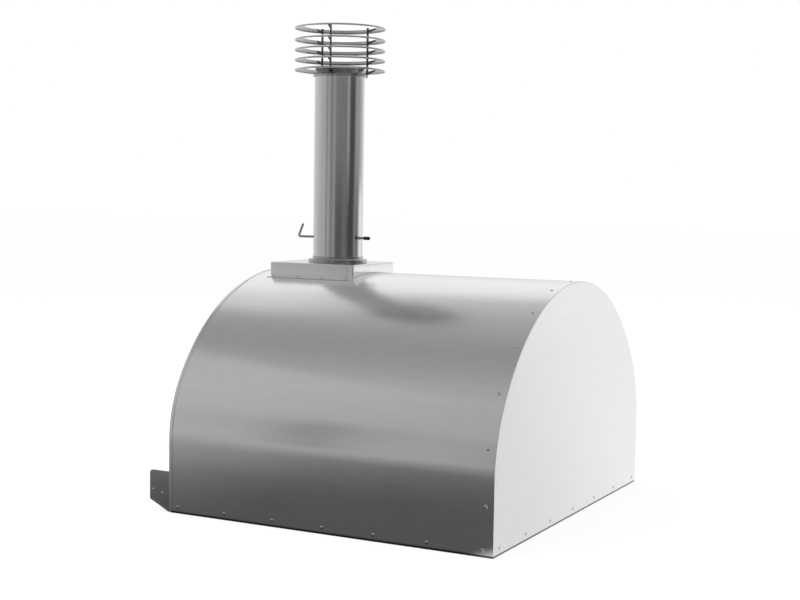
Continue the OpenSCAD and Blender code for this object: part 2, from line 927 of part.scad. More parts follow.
base_tray();
hearth_board();
hearth_tiles();
outer_skin();
rear_panel();
front_fascia();
mouth_trim();
mouth_throat();
vault_liner();
inner_front_wall();
inner_rear_wall();
vault_blanket();
front_blanket();
rear_blanket();
shelf_plate();
shelf_apron();
shelf_cheek_left();
shelf_cheek_right();
flue_plinth();
flue_spigot();
flue_collar();
flue_pipe();
damper_bushes();
damper_spindle();
damper_disc();
damper_screws();
damper_end_cap();
cowl_base();
cowl_ring_1();
cowl_ring_2();
cowl_ring_3();
cowl_ring_4();
cowl_ring_5();
cowl_stays();
cowl_screws();
side_rivets();
rear_rivets();
arch_rivets();
shelf_rivets();
plinth_rivets();
collar_screws();
trim_screws();
door_face();
door_pan();
door_insulation();
door_handle();
handle_posts();
handle_screws();
thermometer_case();
thermometer_dial();
thermometer_needle();
thermometer_glass();
thermometer_stem();
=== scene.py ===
import math
import bmesh
import bpy
from mathutils import Matrix, Vector, noise


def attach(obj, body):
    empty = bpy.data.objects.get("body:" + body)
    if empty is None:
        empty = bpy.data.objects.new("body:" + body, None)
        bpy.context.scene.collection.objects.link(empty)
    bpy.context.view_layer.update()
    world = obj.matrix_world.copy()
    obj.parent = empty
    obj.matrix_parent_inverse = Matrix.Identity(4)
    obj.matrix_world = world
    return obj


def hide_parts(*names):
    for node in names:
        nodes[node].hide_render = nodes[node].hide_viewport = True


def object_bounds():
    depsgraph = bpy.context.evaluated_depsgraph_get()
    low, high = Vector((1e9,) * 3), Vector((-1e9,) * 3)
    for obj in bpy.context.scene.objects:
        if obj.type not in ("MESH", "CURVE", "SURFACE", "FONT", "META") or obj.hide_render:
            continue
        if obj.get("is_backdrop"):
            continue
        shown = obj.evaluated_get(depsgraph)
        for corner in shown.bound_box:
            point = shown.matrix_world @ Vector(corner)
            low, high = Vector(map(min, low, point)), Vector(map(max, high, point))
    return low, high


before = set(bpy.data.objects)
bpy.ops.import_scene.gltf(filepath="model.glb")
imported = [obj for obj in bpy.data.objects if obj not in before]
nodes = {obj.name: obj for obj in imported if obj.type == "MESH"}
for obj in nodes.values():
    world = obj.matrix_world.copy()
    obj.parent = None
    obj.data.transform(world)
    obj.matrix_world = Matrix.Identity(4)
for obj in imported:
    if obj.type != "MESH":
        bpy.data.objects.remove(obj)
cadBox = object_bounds()
print("frame loaded with", len(nodes), "nodes")

# Sizes that several pieces share, in metres, as the frame has them
body = {
    "width": 1.110, "depth": 0.990, "spring": 0.200, "rise": 0.462, "shoulder": 0.345, "skin": 0.0012,
    "foot": 0.0055,
}
mouth = {"width": 0.600, "spring": 0.184, "rise": 0.180, "shoulder": 0.090}
hearth = {"board": 0.054, "top": 0.084}
flue = {"y": -0.280, "radius": 0.075, "sheet": 0.0015, "top": 1.248, "plinthTop": 0.688}
halfWidth = body["width"] / 2
halfDepth = body["depth"] / 2
skinEnd = halfDepth - body["skin"]

camera = {
    "place": (3.7496, 1.8827, 0.9119),
    "azimuth": 117.449,        # 0 looks along +Y
    "elevation": 4.45,
    "roll": 0.857,
    "lens": 64.12,
    "sensor": 36.0,
    "clip": (0.05, 100),
}


def addObject(name, data):
    made = bpy.data.objects.new(name, data)
    bpy.context.scene.collection.objects.link(made)
    return made


def spin(degrees, axis):
    return Matrix.Rotation(math.radians(degrees), 4, axis)


def addCamera(p):
    data = bpy.data.cameras.new("camera")
    data.sensor_width = p["sensor"]
    data.lens = p["lens"]
    data.clip_start, data.clip_end = p["clip"]
    made = addObject("camera", data)
    turn = spin(p["azimuth"], "Z") @ spin(90 - p["elevation"], "X") @ spin(p["roll"], "Z")
    made.matrix_world = Matrix.Translation(p["place"]) @ turn
    bpy.context.scene.camera = made


addCamera(camera)
bpy.context.scene.view_settings.view_transform = "Standard"
print("camera placed")


# Node helpers

def addNode(tree, kind, inputs=None, **settings):
    made = tree.nodes.new("ShaderNode" + kind)
    for key, value in settings.items():
        setattr(made, key, value)
    for key, value in (inputs or {}).items():
        if isinstance(value, bpy.types.NodeSocket):
            tree.links.new(value, made.inputs[key])
        else:
            made.inputs[key].default_value = value
    return made


# Gives a material or the world the shader that a function makes from its look
def addShader(owner, make, look):
    owner.use_nodes = True
    tree = owner.node_tree
    tree.nodes.clear()
    out = addNode(tree, "OutputWorld" if isinstance(owner, bpy.types.World) else "OutputMaterial")
    tree.links.new(make(tree, look).outputs[0], out.inputs[0])
    return owner


def coordinates(tree):
    made = tree.nodes.get("coordinates") or addNode(tree, "TexCoord", name="coordinates")
    return made.outputs["Object"]


def xyz(tree):
    return addNode(tree, "SeparateXYZ", {0: coordinates(tree)}).outputs


def clouds(tree, scale, detail, rough, stretch=None):
    vector = coordinates(tree)
    if stretch:
        vector = addNode(tree, "Mapping", {"Vector": vector, "Scale": stretch}).outputs[0]
    inputs = {"Vector": vector, "Scale": scale, "Detail": detail, "Roughness": rough}
    return addNode(tree, "TexNoise", inputs).outputs["Fac"]


def ramp(tree, value, *stops):
    made = addNode(tree, "ValToRGB", {"Fac": value})
    elements = made.color_ramp.elements
    while len(elements) < len(stops):
        elements.new(1.0)
    for element, (place, colour) in zip(elements, stops):
        element.position = place
        element.color = (*colour, 1)
    return made.outputs["Color"]


# A value between start and end becomes one between low and high, and stays at them outside
def remap(tree, value, start, end, low=0.0, high=1.0, how="LINEAR"):
    inputs = {"Value": value, "From Min": start, "From Max": end, "To Min": low, "To Max": high}
    return addNode(tree, "MapRange", inputs, interpolation_type=how).outputs[0]


def eased(tree, value, start, end, low=0.0, high=1.0):
    return remap(tree, value, start, end, low, high, "SMOOTHSTEP")


def calc(tree, how, a, b=0.0):
    return addNode(tree, "Math", {0: a, 1: b}, operation=how).outputs[0]


# Several values added together, each with its share
def mixed(tree, *layers):
    total = None
    for value, share in layers:
        part = calc(tree, "MULTIPLY", value, share)
        total = calc(tree, "ADD", total, part) if total else part
    return total


def between(tree, share, low, high):
    return addNode(tree, "MixRGB", {"Fac": share, "Color1": low, "Color2": high}).outputs[0]


# Each layer is a height, a distance and a strength
def bumps(tree, *layers):
    inputs = {}
    for layer in layers:
        inputs.update(zip(("Height", "Distance", "Strength"), layer))
        inputs["Normal"] = addNode(tree, "Bump", inputs).outputs[0]
    return inputs["Normal"]


def principled(tree, colour, rough, normal, **more):
    inputs = {"Base Color": colour, "Roughness": rough, "Normal": normal}
    inputs.update((key.replace("_", " "), value) for key, value in more.items())
    return addNode(tree, "BsdfPrincipled", inputs)


def tinted(colour, share):
    return tuple(c * share for c in colour)


materials, slots = {}, {}
noiseRange = (0.3, 0.7)    # where most of a noise's values lie


# The looks are grouped by the slot of the record that they belong to
def addMaterials(make, looks):
    for slot, group in looks.items():
        for name, look in group.items():
            materials[name] = addShader(bpy.data.materials.new(name), make, look)
            slots[name] = slot


# Steels: a stretched fine noise for the grain, clouds for handling marks
alongX, alongY, turnedGrain = (16, 1900, 1900), (1900, 16, 1900), (300, 300, 900)
steelLooks = {
    "brushed_stainless": {
        "skinSteel": {"grey": 0.86, "rough": (0.12, 0.18), "grain": alongY, "cloud": 3.2, "shade": 0.94,
                      "crown": (0.40, 0.62, 0, 0.085)},    # heights, and what they add to the roughness
        "panelSteel": {"grey": 0.85, "rough": (0.16, 0.26), "grain": alongX, "cloud": 3.0, "shade": 0.96},
        "shelfSteel": {"grey": 0.74, "rough": (0.16, 0.26), "grain": alongX, "cloud": 6.0, "shade": 0.90},
        # the cheeks are the shelf's brushed sheet painted a darker grey: painted shade for the shade they
        # stand in
        "cheekSteelPaintedShade": {"grey": 0.58, "rough": (0.18, 0.26), "grain": alongY, "cloud": 9.0, "shade": 0.86},
        "plinthSteel": {"grey": 0.87, "rough": (0.12, 0.20), "grain": alongY, "cloud": 9.0, "shade": 0.93},
    },
    "polished_stainless": {
        "pipeSteel": {"grey": 0.75, "rough": (0.05, 0.12), "grain": (1500, 1500, 12), "grainDepth": 0.000004,
                      "cloud": 7.0, "shade": 0.93},
        "collarSteel": {"grey": 0.48, "rough": (0.12, 0.22), "grain": turnedGrain, "grainDepth": 0.000006,
                        "cloud": 16.0, "shade": 0.86},
        "cowlSteel": {"grey": 0.66, "rough": (0.16, 0.26), "grain": turnedGrain, "grainDepth": 0.000004,
                      "cloud": 18.0, "shade": 0.88},
        "spindleSteel": {"grey": 0.36, "blue": 0.01, "rough": (0.16, 0.26), "grain": (1700, 20, 1700),
                         "cloud": 30.0, "shade": 0.84},
        "handleSteel": {"grey": 0.74, "blue": 0.01, "rough": (0.10, 0.20), "grain": (20, 1700, 1700),
                        "cloud": 12.0, "shade": 0.92},
    },
    "dark_steel": {
        # the tray's near-black is partly its own dark steel and partly painted shade for the shadowed strip
        # it shows under the skin
        "trayDarkSteelAndPaintedShade": {"grey": 0.13, "blue": 0.005, "rough": (0.28, 0.42), "grain": (900, 900, 60),
                      "grainDepth": 0.00002, "cloud": 5.0, "shade": 0.8},
        "staySteel": {"grey": 0.14, "blue": 0.005, "rough": (0.26, 0.42), "grain": (900, 900, 80),
                      "grainDepth": 0.00002, "cloud": 20.0, "shade": 0.7},
    },
    "fasteners": {
        "rivetSteel": {"grey": 0.68, "blue": 0.01, "rough": (0.18, 0.32), "grain": (900, 900, 900),
                       "grainDepth": 0.00001, "cloud": 60.0, "shade": 0.84},
    },
}


def makeSteel(tree, look):
    grey = look["grey"]
    colour = (grey, grey, grey + look.get("blue", 0))
    grain = clouds(tree, 1.0, 3.0, 0.6, look["grain"])
    streaks = clouds(tree, 1.0, 2.0, 0.5, [max(2.0, g / 22) for g in look["grain"]])
    cloud = clouds(tree, look["cloud"], 4.0, 0.6)
    smears = clouds(tree, look["cloud"] * 9, 5.0, 0.65)
    marks = mixed(tree, (cloud, 0.6), (smears, 0.4))
    worn = mixed(tree, (marks, 0.7), (streaks, 0.3))
    rough = remap(tree, mixed(tree, (marks, 0.8), (grain, 0.2)), *noiseRange, *look["rough"])
    if "crown" in look:
        rough = calc(tree, "ADD", rough, eased(tree, xyz(tree)["Z"], *look["crown"]))
    normal = bumps(tree, (cloud, 0.0004, 0.25), (grain, look.get("grainDepth", 0.000008), 1.0))
    shown = ramp(tree, worn, (0.36, tinted(colour, look["shade"])), (0.64, colour))
    return principled(tree, shown, rough, normal, Metallic=1.0)


# Sheets that the fire has coloured: straw and blue tints, then soot towards the crown
heatedLook = {
    "clean": (0.50, 0.47, 0.43), "straw": (0.48, 0.36, 0.20), "blue": (0.20, 0.19, 0.24),
    "soot": (0.035, 0.032, 0.030), "sootHeights": (0.10, 0.62), "sootAt": (0.55, 1.10), "fineScale": 70.0,
    "rough": (0.30, 0.85), "metallic": (1.0, 0.15),    # where it is clean, and under soot
}


def makeHeated(tree, look):
    cloud = clouds(tree, 5.5, 5.0, 0.62)
    fine = clouds(tree, look["fineScale"], 4.0, 0.6)
    tint = mixed(tree, (cloud, 0.75), (fine, 0.25))
    metal = ramp(tree, tint, (0.34, look["blue"]), (0.47, look["straw"]), (0.62, look["clean"]))
    rising = remap(tree, xyz(tree)["Z"], *look["sootHeights"])
    soot = remap(tree, mixed(tree, (rising, 1.0), (tint, 0.9)), *look["sootAt"])
    rough, metallic = (remap(tree, soot, 0, 1, *look[k]) for k in ("rough", "metallic"))
    colour = between(tree, soot, metal, (*look["soot"], 1))
    return principled(tree, colour, rough, bumps(tree, (fine, 0.0003, 0.35)), Metallic=metallic)


# Firebrick: sandy body with coarse grit, and fire marks towards the middle of the hearth
brickLook = {
    "base": (0.60, 0.47, 0.32), "pale": (0.76, 0.65, 0.50), "grit": (0.36, 0.25, 0.16),
    "burnt": (0.15, 0.12, 0.10), "rough": 0.92, "gritScale": 160.0, "sandScale": 420.0,
    "fireAt": (-0.05, 0.10, 0.084), "fireSize": 0.36,
}


def makeBrick(tree, look):
    where, size = coordinates(tree), look["fireSize"]
    cloud = clouds(tree, 7.0, 5.0, 0.6)
    sand = clouds(tree, look["sandScale"], 3.0, 0.6)
    cells = addNode(tree, "TexVoronoi", {"Vector": where, "Scale": look["gritScale"]}).outputs["Distance"]
    clay = ramp(tree, mixed(tree, (cloud, 0.6), (sand, 0.4)), (0.38, look["base"]), (0.62, look["pale"]))
    gritty = between(tree, remap(tree, cells, 0.10, 0.26, 1.0, 0.0), clay, (*look["grit"], 1))
    apart = addNode(tree, "VectorMath", {0: where, 1: look["fireAt"]}, operation="DISTANCE").outputs["Value"]
    fire = remap(tree, mixed(tree, (apart, 1.0), (cloud, size)), 0.6 * size, 1.7 * size, 0.75, 0.0)
    return principled(tree, between(tree, fire, gritty, (*look["burnt"], 1)), look["rough"],
                      bumps(tree, (cells, 0.0006, 0.5), (sand, 0.0003, 0.6)))


# Mineral wool and board: pale and fibrous
woolLooks = {
    "fibre_blanket": {"fibreBlanket": {
        "light": (0.90, 0.89, 0.86), "dark": (0.72, 0.70, 0.66), "fibre": (900, 900, 120), "clump": 45.0,
    }},
    "insulating_board": {"insulatingBoard": {
        "light": (0.80, 0.77, 0.70), "dark": (0.66, 0.62, 0.54), "fibre": (300, 300, 300), "clump": 30.0,
    }},
}


def makeWool(tree, look):
    fibre = clouds(tree, 1.0, 4.0, 0.7, look["fibre"])
    clump = clouds(tree, look["clump"], 5.0, 0.65)
    tufts = mixed(tree, (fibre, 0.5), (clump, 0.5))
    return principled(tree, ramp(tree, tufts, (0.36, look["dark"]), (0.60, look["light"])), 0.95,
                      bumps(tree, (clump, 0.002, 0.5), (fibre, 0.0006, 0.6)), Sheen_Weight=0.25)


# Small painted and moulded pieces
paintLooks = {
    "black_cap": {
        "blackCap": {"colour": (0.018, 0.018, 0.019), "rough": (0.42, 0.60), "scale": 300.0, "depth": 0.0002},
    },
    "dial_face": {
        "dialPaint": {"colour": (0.86, 0.86, 0.83), "rough": (0.38, 0.50), "scale": 500.0, "depth": 0.00005},
        "dialInk": {"colour": (0.02, 0.02, 0.022), "rough": (0.45, 0.60), "scale": 500.0, "depth": 0.00002},
    },
    "needle_paint": {
        "needleRed": {"colour": (0.52, 0.03, 0.02), "rough": (0.30, 0.42), "scale": 500.0, "depth": 0.00004},
    },
}


def makePaint(tree, look):
    mottle = clouds(tree, look["scale"], 3.0, 0.6)
    broad = clouds(tree, look["scale"] / 12, 3.0, 0.6)
    colour = ramp(tree, broad, (0.35, tinted(look["colour"], 0.85)), (0.65, look["colour"]))
    return principled(tree, colour, remap(tree, mottle, *noiseRange, *look["rough"]),
                      bumps(tree, (mottle, look["depth"], 0.5)))


glassLook = {"colour": (0.97, 0.98, 0.98), "rough": (0.0, 0.03), "ior": 1.47}


def makeGlass(tree, look):
    rough = remap(tree, clouds(tree, 90.0, 4.0, 0.6), *noiseRange, *look["rough"])
    return addNode(tree, "BsdfPrincipled", {"Base Color": (*look["colour"], 1), "Roughness": rough,
                                            "Transmission Weight": 1.0, "IOR": look["ior"]})


addMaterials(makeSteel, steelLooks)
addMaterials(makeHeated, {"heat_tinted_steel": {"heatedSteel": heatedLook}})
addMaterials(makeBrick, {"firebrick": {"firebrick": brickLook}})
addMaterials(makeWool, woolLooks)
addMaterials(makePaint, paintLooks)
addMaterials(makeGlass, {"dial_glass": {"dialGlass": glassLook}})
print("materials made:", len(materials))


# Mesh helpers. A shell is a list of points and a list of faces.

def spread(low, high, count):
    return [low + (high - low) * i / count for i in range(count + 1)]


def quarter(count):
    return spread(0, math.pi / 2, count)


def filled(verts, faces):
    work = bmesh.new()
    points = [work.verts.new(v) for v in verts]
    for face in faces:
        work.faces.new([points[i] for i in face])
    return work


# Near points merge, flat faces go and the rest turn outwards
def cleaned(verts, faces):
    work = filled(verts, faces)
    bmesh.ops.remove_doubles(work, verts=work.verts, dist=2e-6)
    bmesh.ops.recalc_face_normals(work, faces=work.faces)
    work.verts.index_update()
    kept = [v.co.copy() for v in work.verts]
    sides = [tuple(v.index for v in f.verts) for f in work.faces]
    work.free()
    return kept, sides


def joined(*shells):
    verts, faces = [], []
    for points, sides in shells:
        shift = len(verts)
        verts += points
        faces += [tuple(i + shift for i in side) for side in sides]
    return verts, faces


def placed(shell, place):
    return [place @ Vector(v) for v in shell[0]], shell[1]


def addMesh(name, verts, faces):
    mesh = bpy.data.meshes.new(name)
    mesh.from_pydata([tuple(v) for v in verts], [], faces)
    return addObject(name, mesh)


def makeObject(name, shells):
    return addMesh(name, *joined(*[cleaned(*shell) for shell in shells]))


# A piece replaces the node of its own name, which is written with underscores there
def nodeOf(name):
    return "".join(c if c.islower() else "_" + c.lower() for c in name)


def makePiece(name, shells, material, rides="oven", bevel=0.0, sharp=38):
    made = makeObject(name, shells)
    mesh = made.data
    mesh.polygons.foreach_set("use_smooth", [True] * len(mesh.polygons))
    mesh.set_sharp_from_angle(angle=math.radians(sharp))
    mesh.materials.append(materials[material])
    if bevel:
        edge = made.modifiers.new("edge", "BEVEL")
        edge.width = bevel
        edge.segments = 2
        edge.limit_method = "ANGLE"
        edge.angle_limit = math.radians(sharp)
        edge.harden_normals = True
    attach(made, rides)
    if nodeOf(name) in nodes:
        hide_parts(nodeOf(name))
    return made


# What is left of a closed shell after others are cut from it
def carved(shell, *tools):
    work = [makeObject("work", [part]) for part in (shell, *tools)]
    for tool in work[1:]:
        cut = work[0].modifiers.new("cut", "BOOLEAN")
        cut.operation = "DIFFERENCE"
        cut.solver = "EXACT"
        cut.object = tool
    done = work[0].evaluated_get(bpy.context.evaluated_depsgraph_get())
    mesh = done.to_mesh()
    result = [v.co.copy() for v in mesh.vertices], [tuple(p.vertices) for p in mesh.polygons]
    done.to_mesh_clear()
    for part in work:
        used = part.data
        bpy.data.objects.remove(part)
        bpy.data.meshes.remove(used)
    return result


# Rows of closed loops joined to each other; the two ends are capped unless the rows close up
def loft(rows, closed=False):
    count = len(rows[0])
    verts = [p for row in rows for p in row]
    faces = []
    for i in range(len(rows) if closed else len(rows) - 1):
        a, b = i * count, (i + 1) % len(rows) * count
        faces += [(a + j, a + (j + 1) % count, b + (j + 1) % count, b + j) for j in range(count)]
    if not closed:
        faces += [tuple(range(count)), tuple(range(len(verts) - count, len(verts)))]
    return verts, faces


def circle(radius, z, steps):
    turns = [2 * math.pi * i / steps for i in range(steps)]
    return [Vector((radius * math.cos(a), radius * math.sin(a), z)) for a in turns]


# A profile of (radius, height) turned round +Z; a closed one makes a ring, an open one ends on the axis
def turned(profile, steps, closed=False, place=Matrix()):
    return placed(loft([circle(r, z, steps) for r, z in profile], closed), place)


# An outline in the first two axes, drawn along the third
def prism(outline, low, high, axes="xyz"):
    def put(*values):
        p = dict(zip(axes, values))
        return Vector((p["x"], p["y"], p["z"]))
    return loft([[put(a, b, c) for a, b in outline] for c in (low, high)])


def block(low, high):
    (x0, y0, z0), (x1, y1, z1) = low, high
    return prism([(x0, y0), (x1, y0), (x1, y1), (x0, y1)], z0, z1)


# A flat outline with its corners turned into arcs
def rounded(points, radii, steps=4):
    made = []
    for k, (point, radius) in enumerate(zip(points, radii)):
        here = Vector(point)
        if not radius:
            made.append(tuple(here))
            continue
        before = (Vector(points[k - 1]) - here).normalized()
        after = (Vector(points[(k + 1) % len(points)]) - here).normalized()
        half = before.angle(after) / 2
        middle = here + (before + after).normalized() * (radius / math.sin(half))
        start = here + before * (radius / math.tan(half)) - middle
        end = here + after * (radius / math.tan(half)) - middle
        for t in spread(0, 1, steps):
            made.append(tuple(middle + start.lerp(end, t).normalized() * radius))
    return made


# A round rod along a line of points, with a dome of rings on each end
def rod(line, radius, sides=24):
    line = [Vector(p) for p in line]
    heads = []
    for tip, inner in ((line[0], line[1]), (line[-1], line[-2])):
        out = (tip - inner).normalized()
        heads.append([(tip + out * radius * math.sin(a), radius * math.cos(a)) for a in quarter(5)])
    stations = heads[0][::-1] + [(p, radius) for p in line[1:-1]] + heads[1]
    across = None
    rows = []
    for k, (point, size) in enumerate(stations):
        ahead, behind = stations[min(k + 1, len(stations) - 1)][0], stations[max(k - 1, 0)][0]
        along = (ahead - behind).normalized()
        if across is None:
            across = along.orthogonal().normalized()
        across = (across - along * across.dot(along)).normalized()
        turn = Matrix((across, along.cross(across), along)).transposed()
        rows.append([point + turn @ p for p in circle(size, 0, sides)])
    return loft(rows)


# Places a shape that stands on its origin along +Z, so that it points along the given axis
def standing(point, axis):
    return Matrix.Translation(point) @ Vector(axis).to_track_quat("Z", "Y").to_matrix().to_4x4()


def onFlue(z):
    return Matrix.Translation((0, flue["y"], z))


def waves(point, size, seed):
    return 0.5 + 0.5 * noise.noise(Vector(point) * size + Vector((seed, 2.3 * seed, -seed)))


# A soft surface: every point moves inwards by up to the depth given
def lumpy(shell, depth, size, seed):
    verts, faces = cleaned(*shell)
    work = filled(verts, faces)
    work.normal_update()
    moved = [p.co - p.normal * depth * waves(p.co, size, seed) for p in work.verts]
    work.free()
    return moved, faces


# Arches have upright sides, two shoulder arcs and one crown arc, all drawn in by an inset

def archShape(arch, inset=0.0):
    reach = arch["width"] / 2 - arch["shoulder"]
    rise, shoulder = arch["rise"] - inset, arch["shoulder"] - inset
    crown = (reach ** 2 + rise ** 2 - shoulder ** 2) / (2 * (rise - shoulder))
    crownZ = arch["spring"] + rise - crown
    meet = math.atan2(arch["spring"] - crownZ, reach)
    half = arch["spring"] + shoulder * meet + crown * (math.pi / 2 - meet)
    return reach, shoulder, crown, crownZ, meet, half


# Place and direction at a distance along the arch, from the foot at +X over the crown
def archPoint(arch, inset, distance):
    reach, shoulder, crown, crownZ, meet, half = archShape(arch, inset)
    along = min(distance, 2 * half - distance) - arch["spring"]
    if along < 0:
        x, z, a = reach + shoulder, arch["spring"] + along, 0.0
    elif along < shoulder * meet:
        a = along / shoulder
        x, z = reach + shoulder * math.cos(a), arch["spring"] + shoulder * math.sin(a)
    else:
        a = meet + (along - shoulder * meet) / crown
        x, z = crown * math.cos(a), crownZ + crown * math.sin(a)
    return (-x, z, math.pi - a) if distance > half else (x, z, a)


def archLine(arch, inset, base, steps):
    end = 2 * archShape(arch, inset)[-1] - base
    return [archPoint(arch, inset, s) for s in spread(base, end, steps)]


# The same arch as a closed loop at one depth, with its foot line divided
def archLoop(arch, inset, base, y, steps=160, feet=48):
    line = [Vector((x, y, z)) for x, z, _ in archLine(arch, inset, base, steps)]
    return line + [line[-1].lerp(line[0], t) for t in spread(0, 1, feet)[1:-1]]


# A narrow section of (inset, y) points swept along an arch
def archSweep(arch, base, section, steps=160, push=None):
    lines = [archLine(arch, inset, base, steps) for inset, _ in section]
    rows = []
    for i in range(steps + 1):
        row = []
        for line, (_, y) in zip(lines, section):
            x, z, a = line[i]
            point = Vector((x, y, z))
            if push:
                point -= Vector((math.cos(a), 0, math.sin(a))) * push(point)
            row.append(point)
        rows.append(row)
    return loft(rows)


# A strip of sheet under the body's arch, between two insets
def archStrip(base, outer, inner, depths, steps=160, push=None):
    section = [(outer, y) for y in depths] + [(inner, y) for y in reversed(depths)]
    return archSweep(body, base, section, steps, push)


# Rounded edge of a plate: insets and depths from the side wall to the face
def edgeSteps(face, towards, radius):
    return [(radius * (1 - math.cos(a)), face + towards * radius * (1 - math.sin(a))) for a in quarter(4)]


# A plate in the shape of an arch, from its back to its face, with a rounded edge and a gentle wave
def archPlate(arch, inset, base, back, face, radius, steps=160, feet=48, push=None, wide=1.0):
    towards = 1 if back > face else -1
    rows = [archLoop(arch, inset, base, back, steps, feet)]
    for shift, y in edgeSteps(face, towards, radius):
        rows.append(archLoop(arch, inset + shift * wide, base, y, steps, feet))
    wall = loft(rows)
    wall[1].pop()    # a grid takes the place of the cap at the face
    line = rows[-1]
    half = steps // 2
    verts, faces = [], []
    for i in range(half + 1):
        for t in spread(0, 1, feet):
            point = line[i].lerp(line[steps - i], t)
            if push and 0 < i < half and 0 < t < 1:
                point.y += towards * push(point)
            verts.append(point)
    for i in range(half):
        for j in range(feet):
            a = i * (feet + 1) + j
            faces.append((a, a + 1, a + feet + 2, a + feet + 1))
    return joined(wall, (verts, faces))


# A plate with an opening, each edge given as its arch, inset and base
def openPlate(outer, inner, back, face, radius, across, steps=160, feet=48):
    def loop(edge, shift, y):
        arch, inset, base = edge
        return archLoop(arch, inset + shift, base, y, steps, feet)
    edges = edgeSteps(face, 1, radius)
    rows = [loop(outer, 0.0, back)] + [loop(outer, shift, y) for shift, y in edges]
    start, end = rows[-1], loop(inner, -radius, face)
    rows += [[a.lerp(b, t) for a, b in zip(start, end)] for t in spread(0, 1, across)[1:-1]]
    rows += [loop(inner, -shift, y) for shift, y in reversed(edges)] + [loop(inner, 0.0, back)]
    return loft(rows, closed=True)


# Fasteners: heads are turned from a profile, and every head of a row goes into one piece

def domeProfile(radius, height, depth, top, shank=0.002):
    ball = (radius ** 2 + height ** 2) / (2 * height)
    turns = spread(math.asin(top / ball), math.asin(min(1, radius / ball)), 7)
    dome = [(ball * math.sin(a), height - ball * (1 - math.cos(a))) for a in turns]
    return dome + [(shank, 0), (shank, -depth), (0, -depth)]


# Blind rivet: the pulled mandrel leaves a small pit in the middle of the dome
def blindRivet(radius, height, depth):
    pit = 0.26 * radius
    middle = [(0, 0.55 * height), (0.7 * pit, 0.55 * height), (0.8 * pit, 0.92 * height)]
    return turned(middle + domeProfile(radius, height, depth, pit), 28)


# Screw: a shallow dome with a cross cut into it
def crossScrew(radius, height, depth):
    head = turned([(0, height)] + domeProfile(radius, height, depth, 0.1 * radius), 28)
    long, wide, low = 0.55 * radius, 0.13 * radius, 0.35 * height
    return carved(head, *[block((-a, -b, low), (a, b, 2 * height)) for a, b in ((long, wide), (wide, long))])


def fastenerRow(name, head, places, rides="oven"):
    makePiece(name, [placed(head, place) for place in places], "rivetSteel", rides)


# Outer sheets: thin metal is never quite flat, so the big faces wave a little away from their edges

sheetWave = {
    "depth": 0.0005, "fade": 0.07, "calm": 0.03, "skinSize": 5.2, "endSize": 4.16, "endMiddle": 0.10,
    "endSquash": 0.75, "endIn": 0.02,
}


def wave(point, edge, size, seed):
    fade = max(0.0, min(1.0, (edge - sheetWave["calm"]) / sheetWave["fade"]))
    return sheetWave["depth"] * fade * waves(point, size, seed)


def skinWave(point):
    edge = min(point.y + skinEnd, skinEnd - point.y, point.z - body["foot"])
    return wave(point, edge, sheetWave["skinSize"], 1.7)


def endWave(point):
    reach = math.hypot(point.x, sheetWave["endSquash"] * (point.z - sheetWave["endMiddle"]))
    edge = min(halfWidth - sheetWave["endIn"] - reach, point.z - body["foot"])
    return wave(point, edge, sheetWave["endSize"], 4.1)


def flueHole(radius, low, steps):
    return turned([(radius, low), (radius, 0.80)], steps, place=onFlue(0))


outerSkin = {"across": 56, "along": 240, "hole": 0.0796, "holeLow": 0.55}


def makeOuterSkin(p):
    depths = spread(-skinEnd, skinEnd, p["across"])
    sheet = archStrip(body["foot"], 0, body["skin"], depths, p["along"], skinWave)
    makePiece("outerSkin", [carved(sheet, flueHole(p["hole"], p["holeLow"], 96))], "skinSteel")


rearPanel = {
    "edge": 0.0010, "edgeWide": 2.4, "flangeIn": (0.00125, 0.00245), "flangeBase": 0.044, "flange": 0.028,
}


def makeRearPanel(p):
    plate = archPlate(body, 0, body["foot"], skinEnd, halfDepth, p["edge"], push=endWave, wide=p["edgeWide"])
    flange = archStrip(p["flangeBase"], *p["flangeIn"], (skinEnd - p["flange"], skinEnd))
    makePiece("rearPanel", [plate, flange], "panelSteel")


frontFascia = {"proud": 0.0013, "gap": 0.0001, "edge": 0.0008, "rim": 0.0088, "across": 14}


def makeFrontFascia(p):
    outer, inner = (body, -p["proud"], body["foot"]), (mouth, 0.0, hearth["top"])
    plate = openPlate(outer, inner, -skinEnd, -halfDepth, p["edge"], p["across"])
    rim = archStrip(body["foot"], -p["proud"], -p["gap"], (-skinEnd, p["rim"] - skinEnd))
    makePiece("frontFascia", [plate, rim], "panelSteel")


mouthTrim = {"width": 0.028, "thick": 0.002, "edge": 0.0007, "base": 0.0845}


def makeMouthTrim(p):
    edge = edgeSteps(-halfDepth - p["thick"], 1, p["edge"])
    section = [(-p["width"], -halfDepth)] + [(shift - p["width"], y) for shift, y in edge]
    section += [(-shift, y) for shift, y in reversed(edge)] + [(0, -halfDepth)]
    makePiece("mouthTrim", [archSweep(mouth, p["base"], section, 120)], "panelSteel")


makeOuterSkin(outerSkin)
makeRearPanel(rearPanel)
makeFrontFascia(frontFascia)
makeMouthTrim(mouthTrim)
print("outer sheets made")

# Shelf: a folded plate over an apron, between two cheeks

shelf = {
    "front": -0.5598, "back": -0.4952, "half": 0.5525, "lip": 0.018, "lipHalf": 0.5507, "plate": 0.002,
    "plateEdge": 0.0004, "plateBend": 0.0012, "sheet": 0.0015, "bend": 0.003, "apronFront": -0.5615,
    "apronLow": 0.034, "apronFoot": 0.004, "apronEdge": 0.0005, "apronBend": 0.0015, "flangeTop": 0.0023,
    "flangeLow": 0.0008,
}


